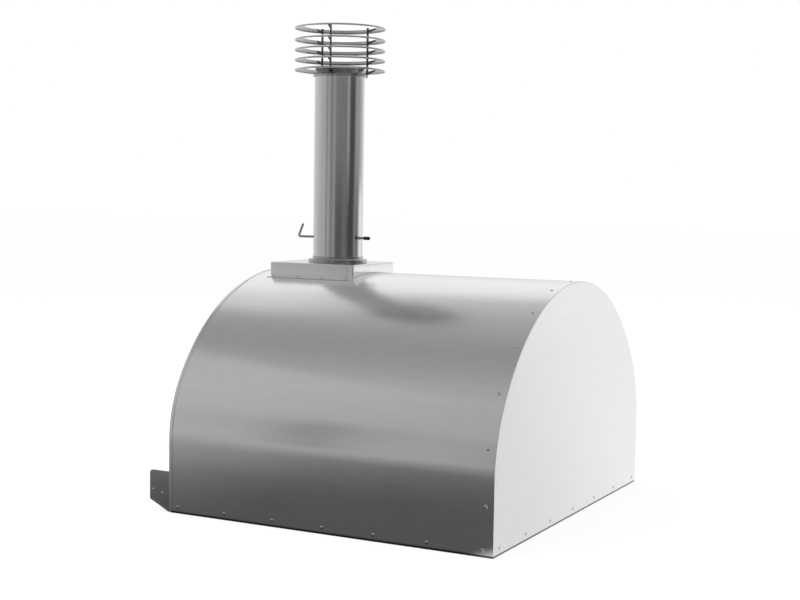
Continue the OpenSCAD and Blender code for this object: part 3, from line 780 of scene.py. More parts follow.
def makeShelfPlate(p):
    top, front, back, edge = hearth["top"], p["front"], p["back"], p["plateEdge"]
    low, under, inside = top - p["lip"], top - p["plate"], front + p["sheet"]
    outline = rounded(
        [(back, top), (front, top), (front, low), (inside, low), (inside, under), (back, under)],
        [0, p["bend"], edge, edge, p["plateBend"], 0])
    verts, faces = prism(outline, -p["half"], p["half"], "yzx")
    for v in verts:
        if v.z < under - 0.0001:    # the lip is a little shorter
            v.x = math.copysign(p["lipHalf"], v.x)
    makePiece("shelfPlate", [(verts, faces)], "shelfSteel", bevel=edge)


def makeShelfApron(p):
    top, low, foot, back, half = hearth["top"], p["apronLow"], p["apronFoot"], p["back"], p["half"]
    front, inside, edge = p["apronFront"], p["apronFront"] + p["sheet"], p["apronEdge"]
    high = foot + p["sheet"] / math.cos(math.atan2(low - foot, back - front))
    outline = rounded(
        [(front, top), (front, low), (back, foot), (back, high), (inside, low + p["sheet"]), (inside, top)],
        [edge, p["bend"], 0, 0, p["apronBend"], edge])
    upper = top - p["flangeTop"]
    flange = [(inside, upper), (inside, low + p["flangeLow"]), (back, high), (back, upper)]
    shells = [prism(outline, -half, half, "yzx")]
    shells += [prism(flange, side * (half - p["sheet"]), side * half, "yzx") for side in (-1, 1)]
    makePiece("shelfApron", shells, "shelfSteel", bevel=0.0003)


cheek = {
    "inner": 0.553, "outer": 0.555, "back": -0.4952, "front": -0.562, "top": 0.116, "low": 0.032,
    "foot": 0.0005, "corners": (0, 0.010, 0.006, 0), "tabWidth": 0.016, "tabSheet": 0.0015,
    "tabZ": (0.085, 0.113),
    "hem": 0.0055, "hemLift": 0.0010, "hemStart": (-0.558, 0.0308), "hemEnd": (-0.4972, 0.0019),
    "hemCorners": (0, 0.0008, 0.002, 0.002),
}


# The sloping lower edge is folded back on the outside as a flat hem
def makeCheek(name, side, p):
    front, back, inner, outer = p["front"], p["back"], p["inner"], p["outer"]
    outline = rounded(
        [(back, p["top"]), (front, p["top"]), (front, p["low"]), (back, p["foot"])], p["corners"])
    tab = block((inner - p["tabWidth"], back - p["tabSheet"], p["tabZ"][0]), (inner, back, p["tabZ"][1]))
    start, end = Vector(p["hemStart"]), Vector(p["hemEnd"])
    along = (end - start).normalized()
    up = Vector((-along.y, along.x)) * p["hem"]
    hem = rounded([start, end, end + up, start + up], p["hemCorners"])
    shells = [
        prism(outline, side * inner, side * outer, "yzx"),
        placed(tab, Matrix.Scale(side, 4, (1, 0, 0))),
        prism(hem, side * outer, side * (outer + p["hemLift"]), "yzx"),
    ]
    # the cheeks' steel carries painted shade in its darker grey
    makePiece(name, shells, "cheekSteelPaintedShade", bevel=0.0005)


makeShelfPlate(shelf)
makeShelfApron(shelf)
makeCheek("shelfCheekLeft", -1, cheek)
makeCheek("shelfCheekRight", 1, cheek)
print("shelf made")

# Flue: plinth, collar and pipe

plinth = {
    "halfX": 0.127, "halfY": 0.142, "y": -0.298, "sheet": 0.0015, "bend": 0.0025, "edge": 0.0015,
    "hole": 0.0736, "footEnd": 0.147, "footSteps": 6, "gap": 0.0001, "firstRow": 0.004, "sideSteps": 14,
    "topRows": (0.15, 0.3, 0.5, 0.7, 0.85),
}
skinCrown, skinCrownZ = archShape(body)[2:4]


def aboveSkin(x, lift):
    return skinCrownZ + math.sqrt((skinCrown + lift) ** 2 - x * x)


def makePlinth(p):
    sheet, gap, bend = p["sheet"], p["gap"], p["bend"]

    def rectangle(inset, z=None):
        hx, hy = p["halfX"] - inset, p["halfY"] - inset
        corners = [Vector(c) for c in ((hx, -hy), (hx, hy), (-hx, hy), (-hx, -hy))]
        made = []
        for a, b in zip(corners, corners[1:] + corners[:1]):
            along = (b - a).normalized() * bend
            made += [(a + along).lerp(b - along, t) for t in spread(0, 1, p["sideSteps"])]
            middle = b - Vector((math.copysign(bend, b.x), math.copysign(bend, b.y)))
            for turn in (0.25, 0.5, 0.75):
                out = (b - along - middle).lerp(along, turn)
                made.append(middle + out.normalized() * bend)
        return [Vector((q.x, q.y + p["y"], aboveSkin(q.x, gap) if z is None else z)) for q in made]

    def ring(z):
        centre = Vector((0, flue["y"], z))
        return [centre + (q - centre).normalized() * p["hole"] for q in rectangle(0, z)]
    top = flue["plinthTop"]
    rows = [rectangle(0), rectangle(0, aboveSkin(0, 0) + p["firstRow"])]
    rows += [rectangle(shift, z) for shift, z in edgeSteps(top, -1, p["edge"])]
    start, end = rows[-1], ring(top)
    rows += [[a.lerp(b, t) for a, b in zip(start, end)] for t in p["topRows"]]
    rows += [end, ring(top - sheet), rectangle(sheet, top - sheet), rectangle(sheet)]
    shells = [loft(rows, closed=True)]
    angles = spread(math.asin((p["halfX"] - sheet) / skinCrown), math.asin(p["footEnd"] / skinCrown), 8)
    foot = [(a, skinCrown + gap + sheet) for a in angles] + [(a, skinCrown + gap) for a in reversed(angles)]
    depths = spread(p["y"] - p["halfY"], p["y"] + p["halfY"], p["footSteps"])
    for side in (-1, 1):
        outline = [(side * r * math.sin(a), skinCrownZ + r * math.cos(a)) for a, r in foot]
        shells.append(loft([[Vector((x, y, z)) for x, z in outline] for y in depths]))
    makePiece("fluePlinth", shells, "plinthSteel", bevel=0.0004)


collar = {
    "inner": 0.0753, "radius": 0.089, "height": 0.010, "neck": 0.009, "sheet": 0.0015, "fillet": 0.0035,
    "filletWide": 0.0020, "bend": 0.0015, "edge": 0.0004, "relief": 0.0005,
}


# A raised plate with its outer rim turned down and a neck at the pipe
def makeCollar(p):
    inner, radius, high, sheet, edge = p["inner"], p["radius"], p["height"], p["sheet"], p["edge"]
    inside, under, top, relief = radius - sheet, high - sheet, high + p["neck"], p["relief"]
    profile = rounded([(inside, 0), (radius, 0), (radius, high), (inner + p["fillet"] + 0.001, high)],
                      [0, edge, p["bend"], 0], 5)
    profile += [(inner + sheet + p["filletWide"] * (1 - math.sin(a)), high + p["fillet"] * (1 - math.cos(a)))
                for a in quarter(6)]
    profile += [(inner + sheet, top - edge), (inner + sheet - edge, top), (inner, top)]
    profile += [(inner, under), (inside - relief, under), (inside, under - relief)]
    shell = turned(profile, 120, True, onFlue(flue["plinthTop"]))
    makePiece("flueCollar", [shell], "collarSteel", sharp=14)


pipe = {"seamWidth": 0.0016, "seamDepth": 0.0007, "out": 0.00006, "outSize": 1.6, "steps": 144, "rows": 24}


# Rolled from sheet: a butt seam runs up the side at +X, and the wall is out of round by a hair
def makePipe(p):
    low, high, radius = flue["plinthTop"], flue["top"], flue["radius"]
    seam = p["seamWidth"] / radius
    angles = [2 * math.pi * i / p["steps"] for i in range(1, p["steps"])]
    angles = sorted(angles + [0, -seam / 2, seam / 2, -seam, seam])

    def dent(a, z):
        where = (2 * math.cos(a), 2 * math.sin(a), 1.3 * z)
        line = max(0.0, 1 - abs(a) / (seam / 2 + 1e-6))
        return p["out"] * waves(where, p["outSize"], 2.0) + p["seamDepth"] * line
    rows = [[(radius - dent(a, z), a, z) for a in angles] for z in spread(low, high, p["rows"])]
    rows += [[(radius - flue["sheet"], a, z) for a in angles] for z in (high, low)]
    shell = loft([[Vector((r * math.cos(a), r * math.sin(a), z)) for r, a, z in row] for row in rows], True)
    makePiece("fluePipe", [placed(shell, onFlue(0))], "pipeSteel", sharp=50)


makePlinth(plinth)
makeCollar(collar)
makePipe(pipe)
print("flue made")

# Damper: a disc on a spindle that crosses the pipe, with a bent handle in front and a cap behind

damper = {
    "z": 0.763, "tilt": 35.5, "spindle": 0.0035, "back": 0.100, "front": 0.140, "bend": 0.008, "arm": 0.044,
    "disc": 0.071, "sheet": 0.002, "edge": 0.0006, "play": 0.0001, "screwAt": 0.040,
    "screw": (0.0045, 0.0025, 0.0090), "capRadius": 0.0053, "capStart": 0.0905, "capLength": 0.015,
    "capBore": 0.013, "capEdge": 0.0005, "gripStart": 0.0035, "gripPitch": 0.0040, "gripCount": 3,
    "groove": ((0, 0), (0.0006, 0.0004), (0.0014, 0.0004), (0.002, 0)),    # corners, as (along, depth)
    "bush": 0.006, "bushHigh": 0.0015, "bushEdge": 0.0005, "bushLip": 0.0008, "bushPlay": 0.00006,
    "bushGap": 0.00005,
}
damperPlace = onFlue(damper["z"]) @ spin(-damper["tilt"], "Y")


def makeDamper(p):
    rod1, bend, sheet, edge = p["spindle"], p["bend"], p["sheet"], p["edge"]
    corner = [(0, bend - p["front"] - bend * math.sin(a), bend - bend * math.cos(a)) for a in quarter(8)]
    line = [(0, p["back"], 0), (0, 0, 0)] + corner + [(0, -p["front"], p["arm"])]
    makePiece("damperSpindle", [placed(rod(line, rod1), damperPlace)], "spindleSteel", "damper")
    start, rim = rod1 + p["play"], p["disc"] - edge
    profile = [(0, 0), (rim, 0), (p["disc"], edge), (p["disc"], sheet - edge), (rim, sheet), (0, sheet)]
    disc = turned(profile, 96, place=damperPlace @ standing((start, 0, 0), (1, 0, 0)))
    makePiece("damperDisc", [disc], "heatedSteel", "damper")
    radius, bore = p["capRadius"], p["capBore"]
    profile = [(0, bore), (rod1, bore), (rod1, 0), (radius - p["capEdge"], 0), (radius, p["capEdge"])]
    for k in range(p["gripCount"]):
        z = p["gripStart"] + p["gripPitch"] * k
        profile += [(radius - depth, z + along) for along, depth in p["groove"]]
    profile += [(radius * math.cos(a), p["capLength"] + radius * math.sin(a)) for a in quarter(6)]
    cap = turned(profile, 32, place=damperPlace @ standing((0, p["capStart"], 0), (0, 1, 0)))
    makePiece("damperEndCap", [cap], "blackCap", "damper")
    places = [damperPlace @ standing((start + sheet, s * p["screwAt"], 0), (1, 0, 0)) for s in (-1, 1)]
    fastenerRow("damperScrews", crossScrew(*p["screw"]), places, "damper")


def makeBushes(p):
    hole, wide, high, edge = p["spindle"] + p["bushPlay"], p["bush"], p["bushHigh"], p["bushEdge"]
    profile = [(hole, 0), (wide, 0), (wide, high - edge), (wide - edge, high), (hole + p["bushLip"], high),
               (hole, high - edge)]
    reach = flue["radius"] + p["bushGap"]
    places = [onFlue(p["z"]) @ standing((0, side * reach, 0), (0, side, 0)) for side in (-1, 1)]
    makePiece("damperBushes", [turned(profile, 40, True, place) for place in places], "handleSteel")


makeDamper(damper)
makeBushes(damper)
print("damper made")

# Cowl: a skirt on the pipe, five conical rings and three stays

cowl = {
    "base": 1.244, "skirt": 0.0805, "skirtHigh": 0.007, "shoulderHigh": 0.009, "skirtSheet": 0.0016,
    "boreHigh": 0.006, "neckHigh": 0.027,
    "skirtCorners": (0.0003, 0.0006, 0.0006, 0.001, 0.0004, 0.0004, 0, 0),
    "ring": 0.136, "band": 0.028, "ringRise": 0.005, "ringSheet": 0.0015, "ringLip": 0.003,
    "ringCorners": (0.0004, 0.0004, 0.0006, 0.0006, 0.0006, 0.0004),
    "firstRing": 1.264, "pitch": 0.030, "topLift": 0.005, "count": 5,
    "stayTurn": 10.5, "stayIn": 0.0806, "stayWidth": 0.006, "stayThick": 0.004, "overlap": 0.003,
    "footSize": 0.012, "footThick": 0.003, "footCorner": 0.002, "tabLow": -0.009, "tabRoot": 0.007,
    "tabEnd": 0.005, "tabGap": 0.0001, "screwUp": 0.004, "screw": (0.0036, 0.002, 0.0065),
}


def ringHeight(k, p):
    return p["firstRing"] + k * p["pitch"] + (p["topLift"] if k == p["count"] - 1 else 0)


def makeCowl(p):
    bore, neck, skirt, sheet = flue["radius"] + 0.0003, flue["radius"] - 0.001, p["skirt"], p["skirtSheet"]
    inner, outer, rise, lip = p["ring"] - p["band"], p["ring"], p["ringRise"], p["ring"] - p["ringSheet"]
    profile = rounded(
        [(bore, 0), (skirt, 0), (skirt, p["skirtHigh"]), (skirt - sheet, p["shoulderHigh"]),
         (neck, p["neckHigh"]), (neck - sheet, p["neckHigh"]), (neck, p["boreHigh"]), (bore, p["boreHigh"])],
        p["skirtCorners"])
    makePiece("cowlBase", [turned(profile, 120, True, onFlue(p["base"]))], "collarSteel", sharp=14)
    sheet = p["ringSheet"]
    band = rounded(
        [(lip, -p["ringLip"]), (outer, -p["ringLip"]), (outer, sheet), (inner, rise + sheet), (inner, rise),
         (lip, rise * sheet / p["band"])],
        p["ringCorners"], 3)
    for k in range(p["count"]):
        ring = turned(band, 120, True, onFlue(ringHeight(k, p)))
        makePiece("cowlRing" + str(k + 1), [ring], "cowlSteel", sharp=14)


# Each stay is one bar with a slanted tab under every ring, on a flat foot
def makeStays(p):
    inside, outside, base, half = p["stayIn"], p["stayIn"] + p["stayWidth"], p["base"], p["footSize"] / 2
    tip = p["ring"] - p["band"] - p["tabGap"]
    top = ringHeight(p["count"] - 1, p) + p["ringRise"]
    start = base + 2 * half - p["overlap"]
    outline = [(inside, start), (outside, start)]
    for k in range(p["count"]):
        low, high = ringHeight(k, p) + p["tabLow"], ringHeight(k, p) + p["ringRise"] + p["ringSheet"]
        outline += [(outside, low), (tip, high - p["tabEnd"]), (tip, high), (outside, low + p["tabRoot"])]
    outline += [(outside, top), (inside, top)]
    bar = prism(outline, -p["stayThick"] / 2, p["stayThick"] / 2, "xzy")
    corners = [(-half, base), (half, base), (half, base + 2 * half), (-half, base + 2 * half)]
    foot = prism(rounded(corners, [p["footCorner"]] * 4), inside, inside + p["footThick"], "yzx")
    places = [onFlue(0) @ spin(p["stayTurn"] + 120 * k, "Z") for k in range(3)]
    makePiece("cowlStays", [placed(shell, place) for place in places for shell in (bar, foot)], "staySteel",
              bevel=0.0004)
    where = standing((inside + p["footThick"], 0, base + p["screwUp"]), (1, 0, 0))
    fastenerRow("cowlScrews", crossScrew(*p["screw"]), [place @ where for place in places])


makeCowl(cowl)
makeStays(cowl)
print("cowl made")

# Rows of rivets and screws, each head given by its radius, height and depth

rows = {
    "sidePitch": 0.155, "sideZ": 0.018, "rearPitch": 0.173, "rearZ": 0.019, "archPitch": 0.144,
    "archIn": 0.023, "bodyRivet": (0.005, 0.0016, 0.0029), "plinthPitch": 0.084, "plinthReach": 0.137,
    "plinthRivet": (0.005, 0.0016, 0.0036), "shelfAt": ((-0.51845, 0.052), (-0.5486, 0.060)), "tabX": 0.545,
    "tabY": -0.4967, "tabZ": (0.092, 0.107), "shelfRivet": (0.0045, 0.0013, 0.0034), "collarRadius": 0.083,
    "collarScrew": (0.0034, 0.0014, 0.0121), "trimCount": 9, "trimOut": 0.020, "trimLow": 0.100,
    "trimScrew": (0.0045, 0.0011, 0.0036), "lift": 0.00005, "plinthLift": 0.00015,
}


def makeRivets(p):
    head, sevenPlaces = blindRivet(*p["bodyRivet"]), range(-3, 4)
    sides, arch, feet, ends = [], [], [], []
    for s in (-1, 1):
        sides += [standing((s * halfWidth, k * p["sidePitch"], p["sideZ"]), (s, 0, 0)) for k in sevenPlaces]
    rear = [standing((k * p["rearPitch"], halfDepth, p["rearZ"]), (0, 1, 0)) for k in sevenPlaces]
    crown = archShape(body, -p["lift"])[-1]
    for k in range(-6, 7):
        x, z, a = archPoint(body, -p["lift"], crown - k * p["archPitch"])
        arch.append(standing((x, halfDepth - p["archIn"], z), (math.cos(a), 0, math.sin(a))))
    turn, reach = math.asin(p["plinthReach"] / skinCrown), skinCrown + plinth["sheet"] + p["plinthLift"]
    for s in (-1, 1):
        axis = Vector((s * math.sin(turn), 0, math.cos(turn)))
        for k in (-1.5, -0.5, 0.5, 1.5):
            middle = Vector((0, plinth["y"] + k * p["plinthPitch"], skinCrownZ))
            feet.append(standing(axis * reach + middle, axis))
        ends += [standing((s * cheek["outer"], y, z), (s, 0, 0)) for y, z in p["shelfAt"]]
        ends += [standing((s * p["tabX"], p["tabY"], z), (0, -1, 0)) for z in p["tabZ"]]
    fastenerRow("sideRivets", head, sides)
    fastenerRow("rearRivets", head, rear)
    fastenerRow("archRivets", head, arch)
    fastenerRow("plinthRivets", blindRivet(*p["plinthRivet"]), feet)
    fastenerRow("shelfRivets", blindRivet(*p["shelfRivet"]), ends)


def makeScrews(p):
    start = onFlue(flue["plinthTop"] + collar["height"])
    places = [start @ spin(60 * k, "Z") @ Matrix.Translation((p["collarRadius"], 0, 0)) for k in range(6)]
    fastenerRow("collarScrews", crossScrew(*p["collarScrew"]), places)
    line = archLine(mouth, -p["trimOut"], p["trimLow"], p["trimCount"] - 1)
    places = [standing((x, -halfDepth - mouthTrim["thick"], z), (0, -1, 0)) for x, z, _ in line]
    fastenerRow("trimScrews", crossScrew(*p["trimScrew"]), places)


makeRivets(rows)
makeScrews(rows)
print("fasteners made")

# Door: a flat face over an insulated pan, with a bar handle on two posts

door = {
    "lap": 0.014, "base": 0.0843, "face": -0.4994, "back": -0.4974, "edge": 0.0008, "panGap": 0.005,
    "panSheet": 0.0015, "panBack": -0.437, "panBend": 0.004, "gripY": -0.5454, "gripZ": 0.190, "grip": 0.011,
    "gripHalf": 0.150, "postX": 0.120, "post": 0.007, "postFoot": 0.0012, "postRim": (0.0008, 0.002),
    "steps": (96, 32),
}


def makeDoor(p):
    plate = archPlate(mouth, -p["lap"], p["base"], p["back"], p["face"], p["edge"], *p["steps"])
    makePiece("doorFace", [plate], "panelSteel", "door")

    def loops(extra, end, bend):
        inset = p["panGap"] + extra
        edge = [(inset, p["back"])] + [(inset + shift, y) for shift, y in edgeSteps(end, -1, bend)]
        return [archLoop(mouth, shift, hearth["top"] + shift, y, *p["steps"]) for shift, y in edge]
    sheet = p["panSheet"]
    inner = loops(sheet, p["panBack"] - sheet, p["panBend"] - sheet)
    makePiece("doorPan", [loft(loops(0.0, p["panBack"], p["panBend"])[::-1] + inner)], "heatedSteel", "door")
    along = [(x, p["gripY"], p["gripZ"]) for x in spread(-p["gripHalf"], p["gripHalf"], 8)]
    makePiece("doorHandle", [rod(along, p["grip"], 40)], "handleSteel", "door")
    length = p["face"] - p["gripY"] - 0.6 * p["grip"]
    wide, foot, (rim, neck) = p["post"], p["post"] + p["postFoot"], p["postRim"]
    profile = [(0, 0), (foot, 0), (foot, rim), (wide, neck), (wide, length), (0, length)]
    places = [standing((s * p["postX"], p["face"], p["gripZ"]), (0, -1, 0)) for s in (-1, 1)]
    makePiece("handlePosts", [turned(profile, 40, place=place) for place in places], "handleSteel", "door")


makeDoor(door)
print("door made")

# Thermometer in the door: case, dial with plain numbers, needle and glass

gauge = {
    "z": 0.286, "radius": 0.032, "height": 0.018, "bend": 0.0015, "bore": 0.030, "opening": 0.028,
    "openingEdge": (0.0006, 0.0008), "floor": 0.001, "groove": (0.0105, 0.0112, 0.0118, 0.0125),
    "grooveDepth": 0.0005, "foot": 0.0004, "footHole": 0.0008,
    "axle": 0.00105, "back": 0.003, "dial": 0.0298, "dialTop": 0.004, "dialEdge": 0.0002,
    "first": 225, "sweep": 270, "top": 500, "step": 20, "figureEvery": 100, "figureSize": 0.0058,
    "figureAt": 0.0175, "figureThick": 0.00004, "figureLift": 0.00005, "ink": 0.00008, "markEnd": 0.0275,
    "longMark": (0.0225, 0.0003), "shortMark": (0.0250, 0.00015), "inkRing": (0.0277, 0.0281),
    "glass": 0.0299, "glassLow": 0.0140, "glassHigh": 0.0164, "glassRim": 0.0296, "glassBulge": 0.0008,
    "bulgeEnd": 0.0297, "bulgeRings": (0.024, 0.018, 0.012, 0.006, 0),
    "pin": 0.001, "pinZ": (0.0015, 0.0083, 0.0085), "pinEdge": 0.0002,
    "hub": 0.003, "hubZ": (0.0055, 0.0070, 0.0075), "hubEdge": 0.0005,
    "bladeZ": (0.006, 0.0068), "blade": ((0.0016, -0.007), (0.0011, 0), (0.0005, 0.023)),
}
gaugePlace = Matrix.Translation((0, door["face"], gauge["z"])) @ spin(90, "X")


def dialTurn(p, value):
    return p["first"] - p["sweep"] * value / p["top"]


def makeFigures(p):
    shells = []
    for value in range(0, p["top"] + 1, p["figureEvery"]):
        curve = bpy.data.curves.new("figure", "FONT")
        curve.body = str(value)
        curve.size = p["figureSize"]
        curve.extrude = p["figureThick"]
        curve.align_x, curve.align_y = "CENTER", "CENTER"
        text = addObject("figure", curve)
        bpy.context.view_layer.update()
        mesh = bpy.data.meshes.new_from_object(text.evaluated_get(bpy.context.evaluated_depsgraph_get()))
        shift = spin(dialTurn(p, value), "Z") @ Vector((p["figureAt"], 0, p["dialTop"] + p["figureLift"]))
        shells.append(([v.co + shift for v in mesh.vertices], [tuple(f.vertices) for f in mesh.polygons]))
        bpy.data.objects.remove(text)
        bpy.data.curves.remove(curve)
        bpy.data.meshes.remove(mesh)
    return shells


def makeMarks(p):
    shells, top = [], p["dialTop"]
    for value in range(0, p["top"] + 1, p["step"]):
        start, half = p["shortMark"] if value % p["figureEvery"] else p["longMark"]
        mark = block((start, -half, top), (p["markEnd"], half, top + p["ink"]))
        shells.append(placed(mark, spin(dialTurn(p, value), "Z")))
    low, high = p["inkRing"]
    ring = turned([(low, top), (high, top), (high, top + p["ink"]), (low, top + p["ink"])], 72, True)
    return shells + makeFigures(p) + [ring]


def makeGauge(p):
    high, wide, bore, opening, axle = (p[k] for k in ("height", "radius", "bore", "opening", "axle"))
    bend, groove, foot, (across, down) = p["bend"], p["groove"], p["foot"], p["openingEdge"]
    lip, deep = high - bend, wide - p["grooveDepth"]
    rim = [(wide - bend + bend * math.cos(a), lip + bend * math.sin(a)) for a in quarter(5)]
    case = [(axle, p["floor"]), (axle, p["back"]), (bore, p["back"]), (bore, lip), (opening, lip)]
    case += [(opening, high - down), (opening + across, high)] + rim[::-1]
    case += [(wide, groove[3]), (deep, groove[2]), (deep, groove[1]), (wide, groove[0])]
    case += [(wide, foot), (wide - foot, 0), (p["footHole"], 0)]
    makePiece("thermometerCase", [turned(case, 72, True, gaugePlace)], "handleSteel", "door")
    top, dial, edge = p["dialTop"], p["dial"], p["dialEdge"]
    face = [(axle, p["back"]), (dial, p["back"]), (dial, top - edge), (dial - edge, top), (axle, top)]
    makePiece("thermometerDial", [turned(face, 72, True, gaugePlace)], "dialPaint", "door")
    makePiece("dialMarks", [placed(shell, gaugePlace) for shell in makeMarks(p)], "dialInk", "door")
    glass, low, high, bulge = p["glass"], p["glassLow"], p["glassHigh"], p["glassBulge"]
    lens = [(0, low), (glass, low), (glass, high), (p["glassRim"], high)]
    for r in p["bulgeRings"]:
        lens.append((r, high - bulge + bulge * math.sqrt(1 - (r / p["bulgeEnd"]) ** 2)))
    makePiece("thermometerGlass", [turned(lens, 72, place=gaugePlace)], "dialGlass", "door")


def makeNeedle(p):
    pin, hub = p["pin"], p["hub"]
    low, edge, high = p["pinZ"]
    shells = [turned([(0, low), (pin, low), (pin, edge), (pin - p["pinEdge"], high), (0, high)], 24)]
    low, edge, high = p["hubZ"]
    profile = [(pin, low), (hub, low), (hub, edge), (hub - p["hubEdge"], high), (pin, high)]
    shells.append(turned(profile, 32, True))
    outline = [(-p["blade"][0][0], p["blade"][0][1])] + list(p["blade"])
    outline += [(-x, y) for x, y in reversed(p["blade"][1:])]
    shells.append(prism(outline, *p["bladeZ"]))
    turn = gaugePlace @ spin(p["first"] - 90, "Z")
    makePiece("thermometerNeedle", [placed(shell, turn) for shell in shells], "needleRed", "needle")


makeGauge(gauge)
makeNeedle(gauge)
print("thermometer made")

# Inside: hearth tiles and boards, and the fibre blankets that fill the walls

tiles = {"halfX": 0.446, "halfY": 0.3885, "gap": 0.0015, "count": 3, "edge": 0.0018, "uneven": 0.0004}


def makeTiles(p):
    gap, count = p["gap"], p["count"]
    wide, deep = ((2 * p[k] - (count - 1) * gap) / count for k in ("halfX", "halfY"))
    shells = []
    for i in range(count):
        for j in range(count):
            x, y = i * (wide + gap) - p["halfX"], j * (deep + gap) - p["halfY"]
            outline = rounded([(x, y), (x + wide, y), (x + wide, y + deep), (x, y + deep)], [p["edge"]] * 4)
            top = hearth["top"] - p["uneven"] * waves((x, y, 0), 9.0, 6.0)
            shells.append(prism(outline, hearth["board"], top))
    makePiece("hearthTiles", shells, "firebrick", bevel=p["edge"])


boards = {"halfX": 0.5515, "halfY": 0.4915, "split": 0.0005, "low": 0.002, "edge": 0.001}


def makeBoards(p):
    shells = []
    for sx, sy in ((-1, -1), (-1, 1), (1, -1), (1, 1)):
        x, y = sorted((sx * p["split"], sx * p["halfX"])), sorted((sy * p["split"], sy * p["halfY"]))
        shells.append(block((x[0], y[0], p["low"]), (x[1], y[1], hearth["board"])))
    makePiece("hearthBoard", shells, "insulatingBoard", bevel=p["edge"])


blankets = {
    "outer": 0.0029, "inner": 0.1045, "base": 0.0545, "end": 0.391, "wall": (0.3925, 0.4933), "edge": 0.008,
    "hole": 0.0766, "holeLow": 0.45, "lumps": 0.0025, "lumpSize": 22.0, "throatGap": 0.0035, "fill": 0.9,
    "doorInset": 0.007, "doorBase": 0.091, "doorWall": (-0.4971, -0.4388), "doorEdge": 0.005,
    "doorLumps": 0.0012,
}


def makeBlankets(p):
    gap, size, (start, end) = p["throatGap"], p["lumpSize"], p["wall"]
    vault = archStrip(p["base"], p["outer"], p["inner"], spread(-p["end"], p["end"], 40), 120)
    outer, inner = (body, p["outer"], p["base"]), (mouth, -gap, hearth["top"] - gap)
    front = openPlate(outer, inner, -start, -end, p["edge"], 16, 120, 40)
    rear = archPlate(body, p["outer"], p["base"], start, end, p["edge"], 100, 40)
    slab = archPlate(mouth, p["doorInset"], p["doorBase"], *p["doorWall"], p["doorEdge"], 80, 32)
    vault = carved(lumpy(vault, p["lumps"], size, 5.0), flueHole(p["hole"], p["holeLow"], 64))
    pads = (
        ("vaultBlanket", vault, "oven"), ("frontBlanket", lumpy(front, p["lumps"], size, 7.0), "oven"),
        ("rearBlanket", lumpy(rear, p["lumps"], size, 8.0), "oven"),
        ("doorInsulation", lumpy(slab, p["doorLumps"], size, 9.0), "door"),
    )
    for name, shell, rides in pads:
        makePiece(name, [shell], "fibreBlanket", rides)


makeTiles(tiles)
makeBoards(boards)
makeBlankets(blankets)
print("inside made")

# CAD nodes whose shape is right keep it and get their finish
finishes = {
    # the base tray's finish is partly dark steel and partly painted shade
    "base_tray": "trayDarkSteelAndPaintedShade", "vault_liner": "heatedSteel", "inner_front_wall": "heatedSteel",
    "inner_rear_wall": "heatedSteel", "mouth_throat": "heatedSteel", "flue_spigot": "heatedSteel",
    "handle_screws": "rivetSteel", "thermometer_stem": "handleSteel",
}
for carried, finish in finishes.items():
    nodes[carried].data.materials.clear()
    nodes[carried].data.materials.append(materials[finish])
print("carried nodes finished")

# Studio: white floor and world, with grey walls that only reflections see

studio = {
    "radius": 6.0, "top": 7.0, "cardSteps": 180, "floorHalf": 30.0, "floorGlow": 1.24, "floorShare": 0.65,
    "floorGrey": 0.8, "seen": 1.0, "soft": 0.65,
    # strength of the wall at each azimuth, counted from +X towards +Y, in three heights
    "foot": (
        (-180, 0.85), (-150, 0.80), (-110, 0.74), (-87, 0.62), (-71, 0.52), (-57, 0.48), (-36, 0.47),
        (-31, 0.44), (-29.8, 0.26), (-27.2, 0.26), (-26, 0.43), (-18, 0.40), (-13, 0.27), (-8, 0.25),
        (4, 0.30), (9, 0.33), (13, 0.14), (27, 0.10), (40, 0.12), (55, 0.177), (64, 0.14), (74, 0.085),
        (85, 0.06), (97, 0.075), (107, 0.16), (114, 0.30), (119, 0.20), (126, 0.16), (134, 0.35), (150, 0.55),
        (160, 0.70), (180, 0.85),
    ),
    "middle": (
        (-180, 0.85), (-150, 0.80), (-110, 0.74), (-87, 0.66), (-71, 0.58), (-57, 0.505), (-45, 0.47),
        (-34, 0.45), (-31, 0.42), (-29.5, 0.22), (-27.5, 0.22), (-26, 0.40), (-18, 0.40), (-13, 0.27),
        (-5, 0.26), (6, 0.33), (9, 0.33), (14, 0.23), (55, 0.21), (64, 0.22), (70, 0.38), (75, 0.40),
        (79, 0.17), (88, 0.085), (102, 0.085), (108, 0.16), (118, 0.36), (136, 0.36), (155, 0.55),
        (180, 0.85),
    ),
    "high": (
        (-180, 1.0), (-128, 1.0), (-120, 0.75), (-105, 0.50), (-60, 0.50), (-40, 0.50), (-32, 0.46),
        (-18, 0.43), (0, 0.40), (60, 0.40), (110, 0.45), (150, 0.70), (180, 1.0),
    ),
    "toMiddle": (0.6, 1.35), "toHigh": (1.6, 2.7),    # heights between which one changes into the next
    # a white slot low on the wall, and bright upper parts that fade at the top
    "slot": ((-180, 0), (136, 0), (149, 1), (170, 1), (176, 0), (180, 0)), "slotTop": (0.75, 1.05, 1.0, 0.0),
    "bright": ((-180, 1), (-132, 1), (-120, 0), (160, 0), (175, 1), (180, 1)), "brightFade": (5.7, 7.0),
    "brightTop": 0.55,
    # strength of the ceiling along X, and of its brighter corner along both axes
    "ceiling": (
        (-6.0, 0.60), (-3.2, 0.50), (-1.9, 0.42), (-1.0, 0.40), (0.0, 0.345), (1.2, 0.32), (2.4, 0.35),
        (3.2, 0.38), (4.2, 0.42), (6.0, 0.45),
    ),
    "cornerX": (-1.9, -1.1, 1.0, 0.0), "cornerY": (-5.0, -3.5, 0.35, 0.0),
    "lamps": (
        {"place": (-2.6, -3.2, 4.4), "size": 3.0, "power": 90},
        {"place": (3.4, -2.4, 4.0), "size": 2.5, "power": 60},
        {"place": (1.5, 4.0, 4.2), "size": 2.5, "power": 50},
    ),
}
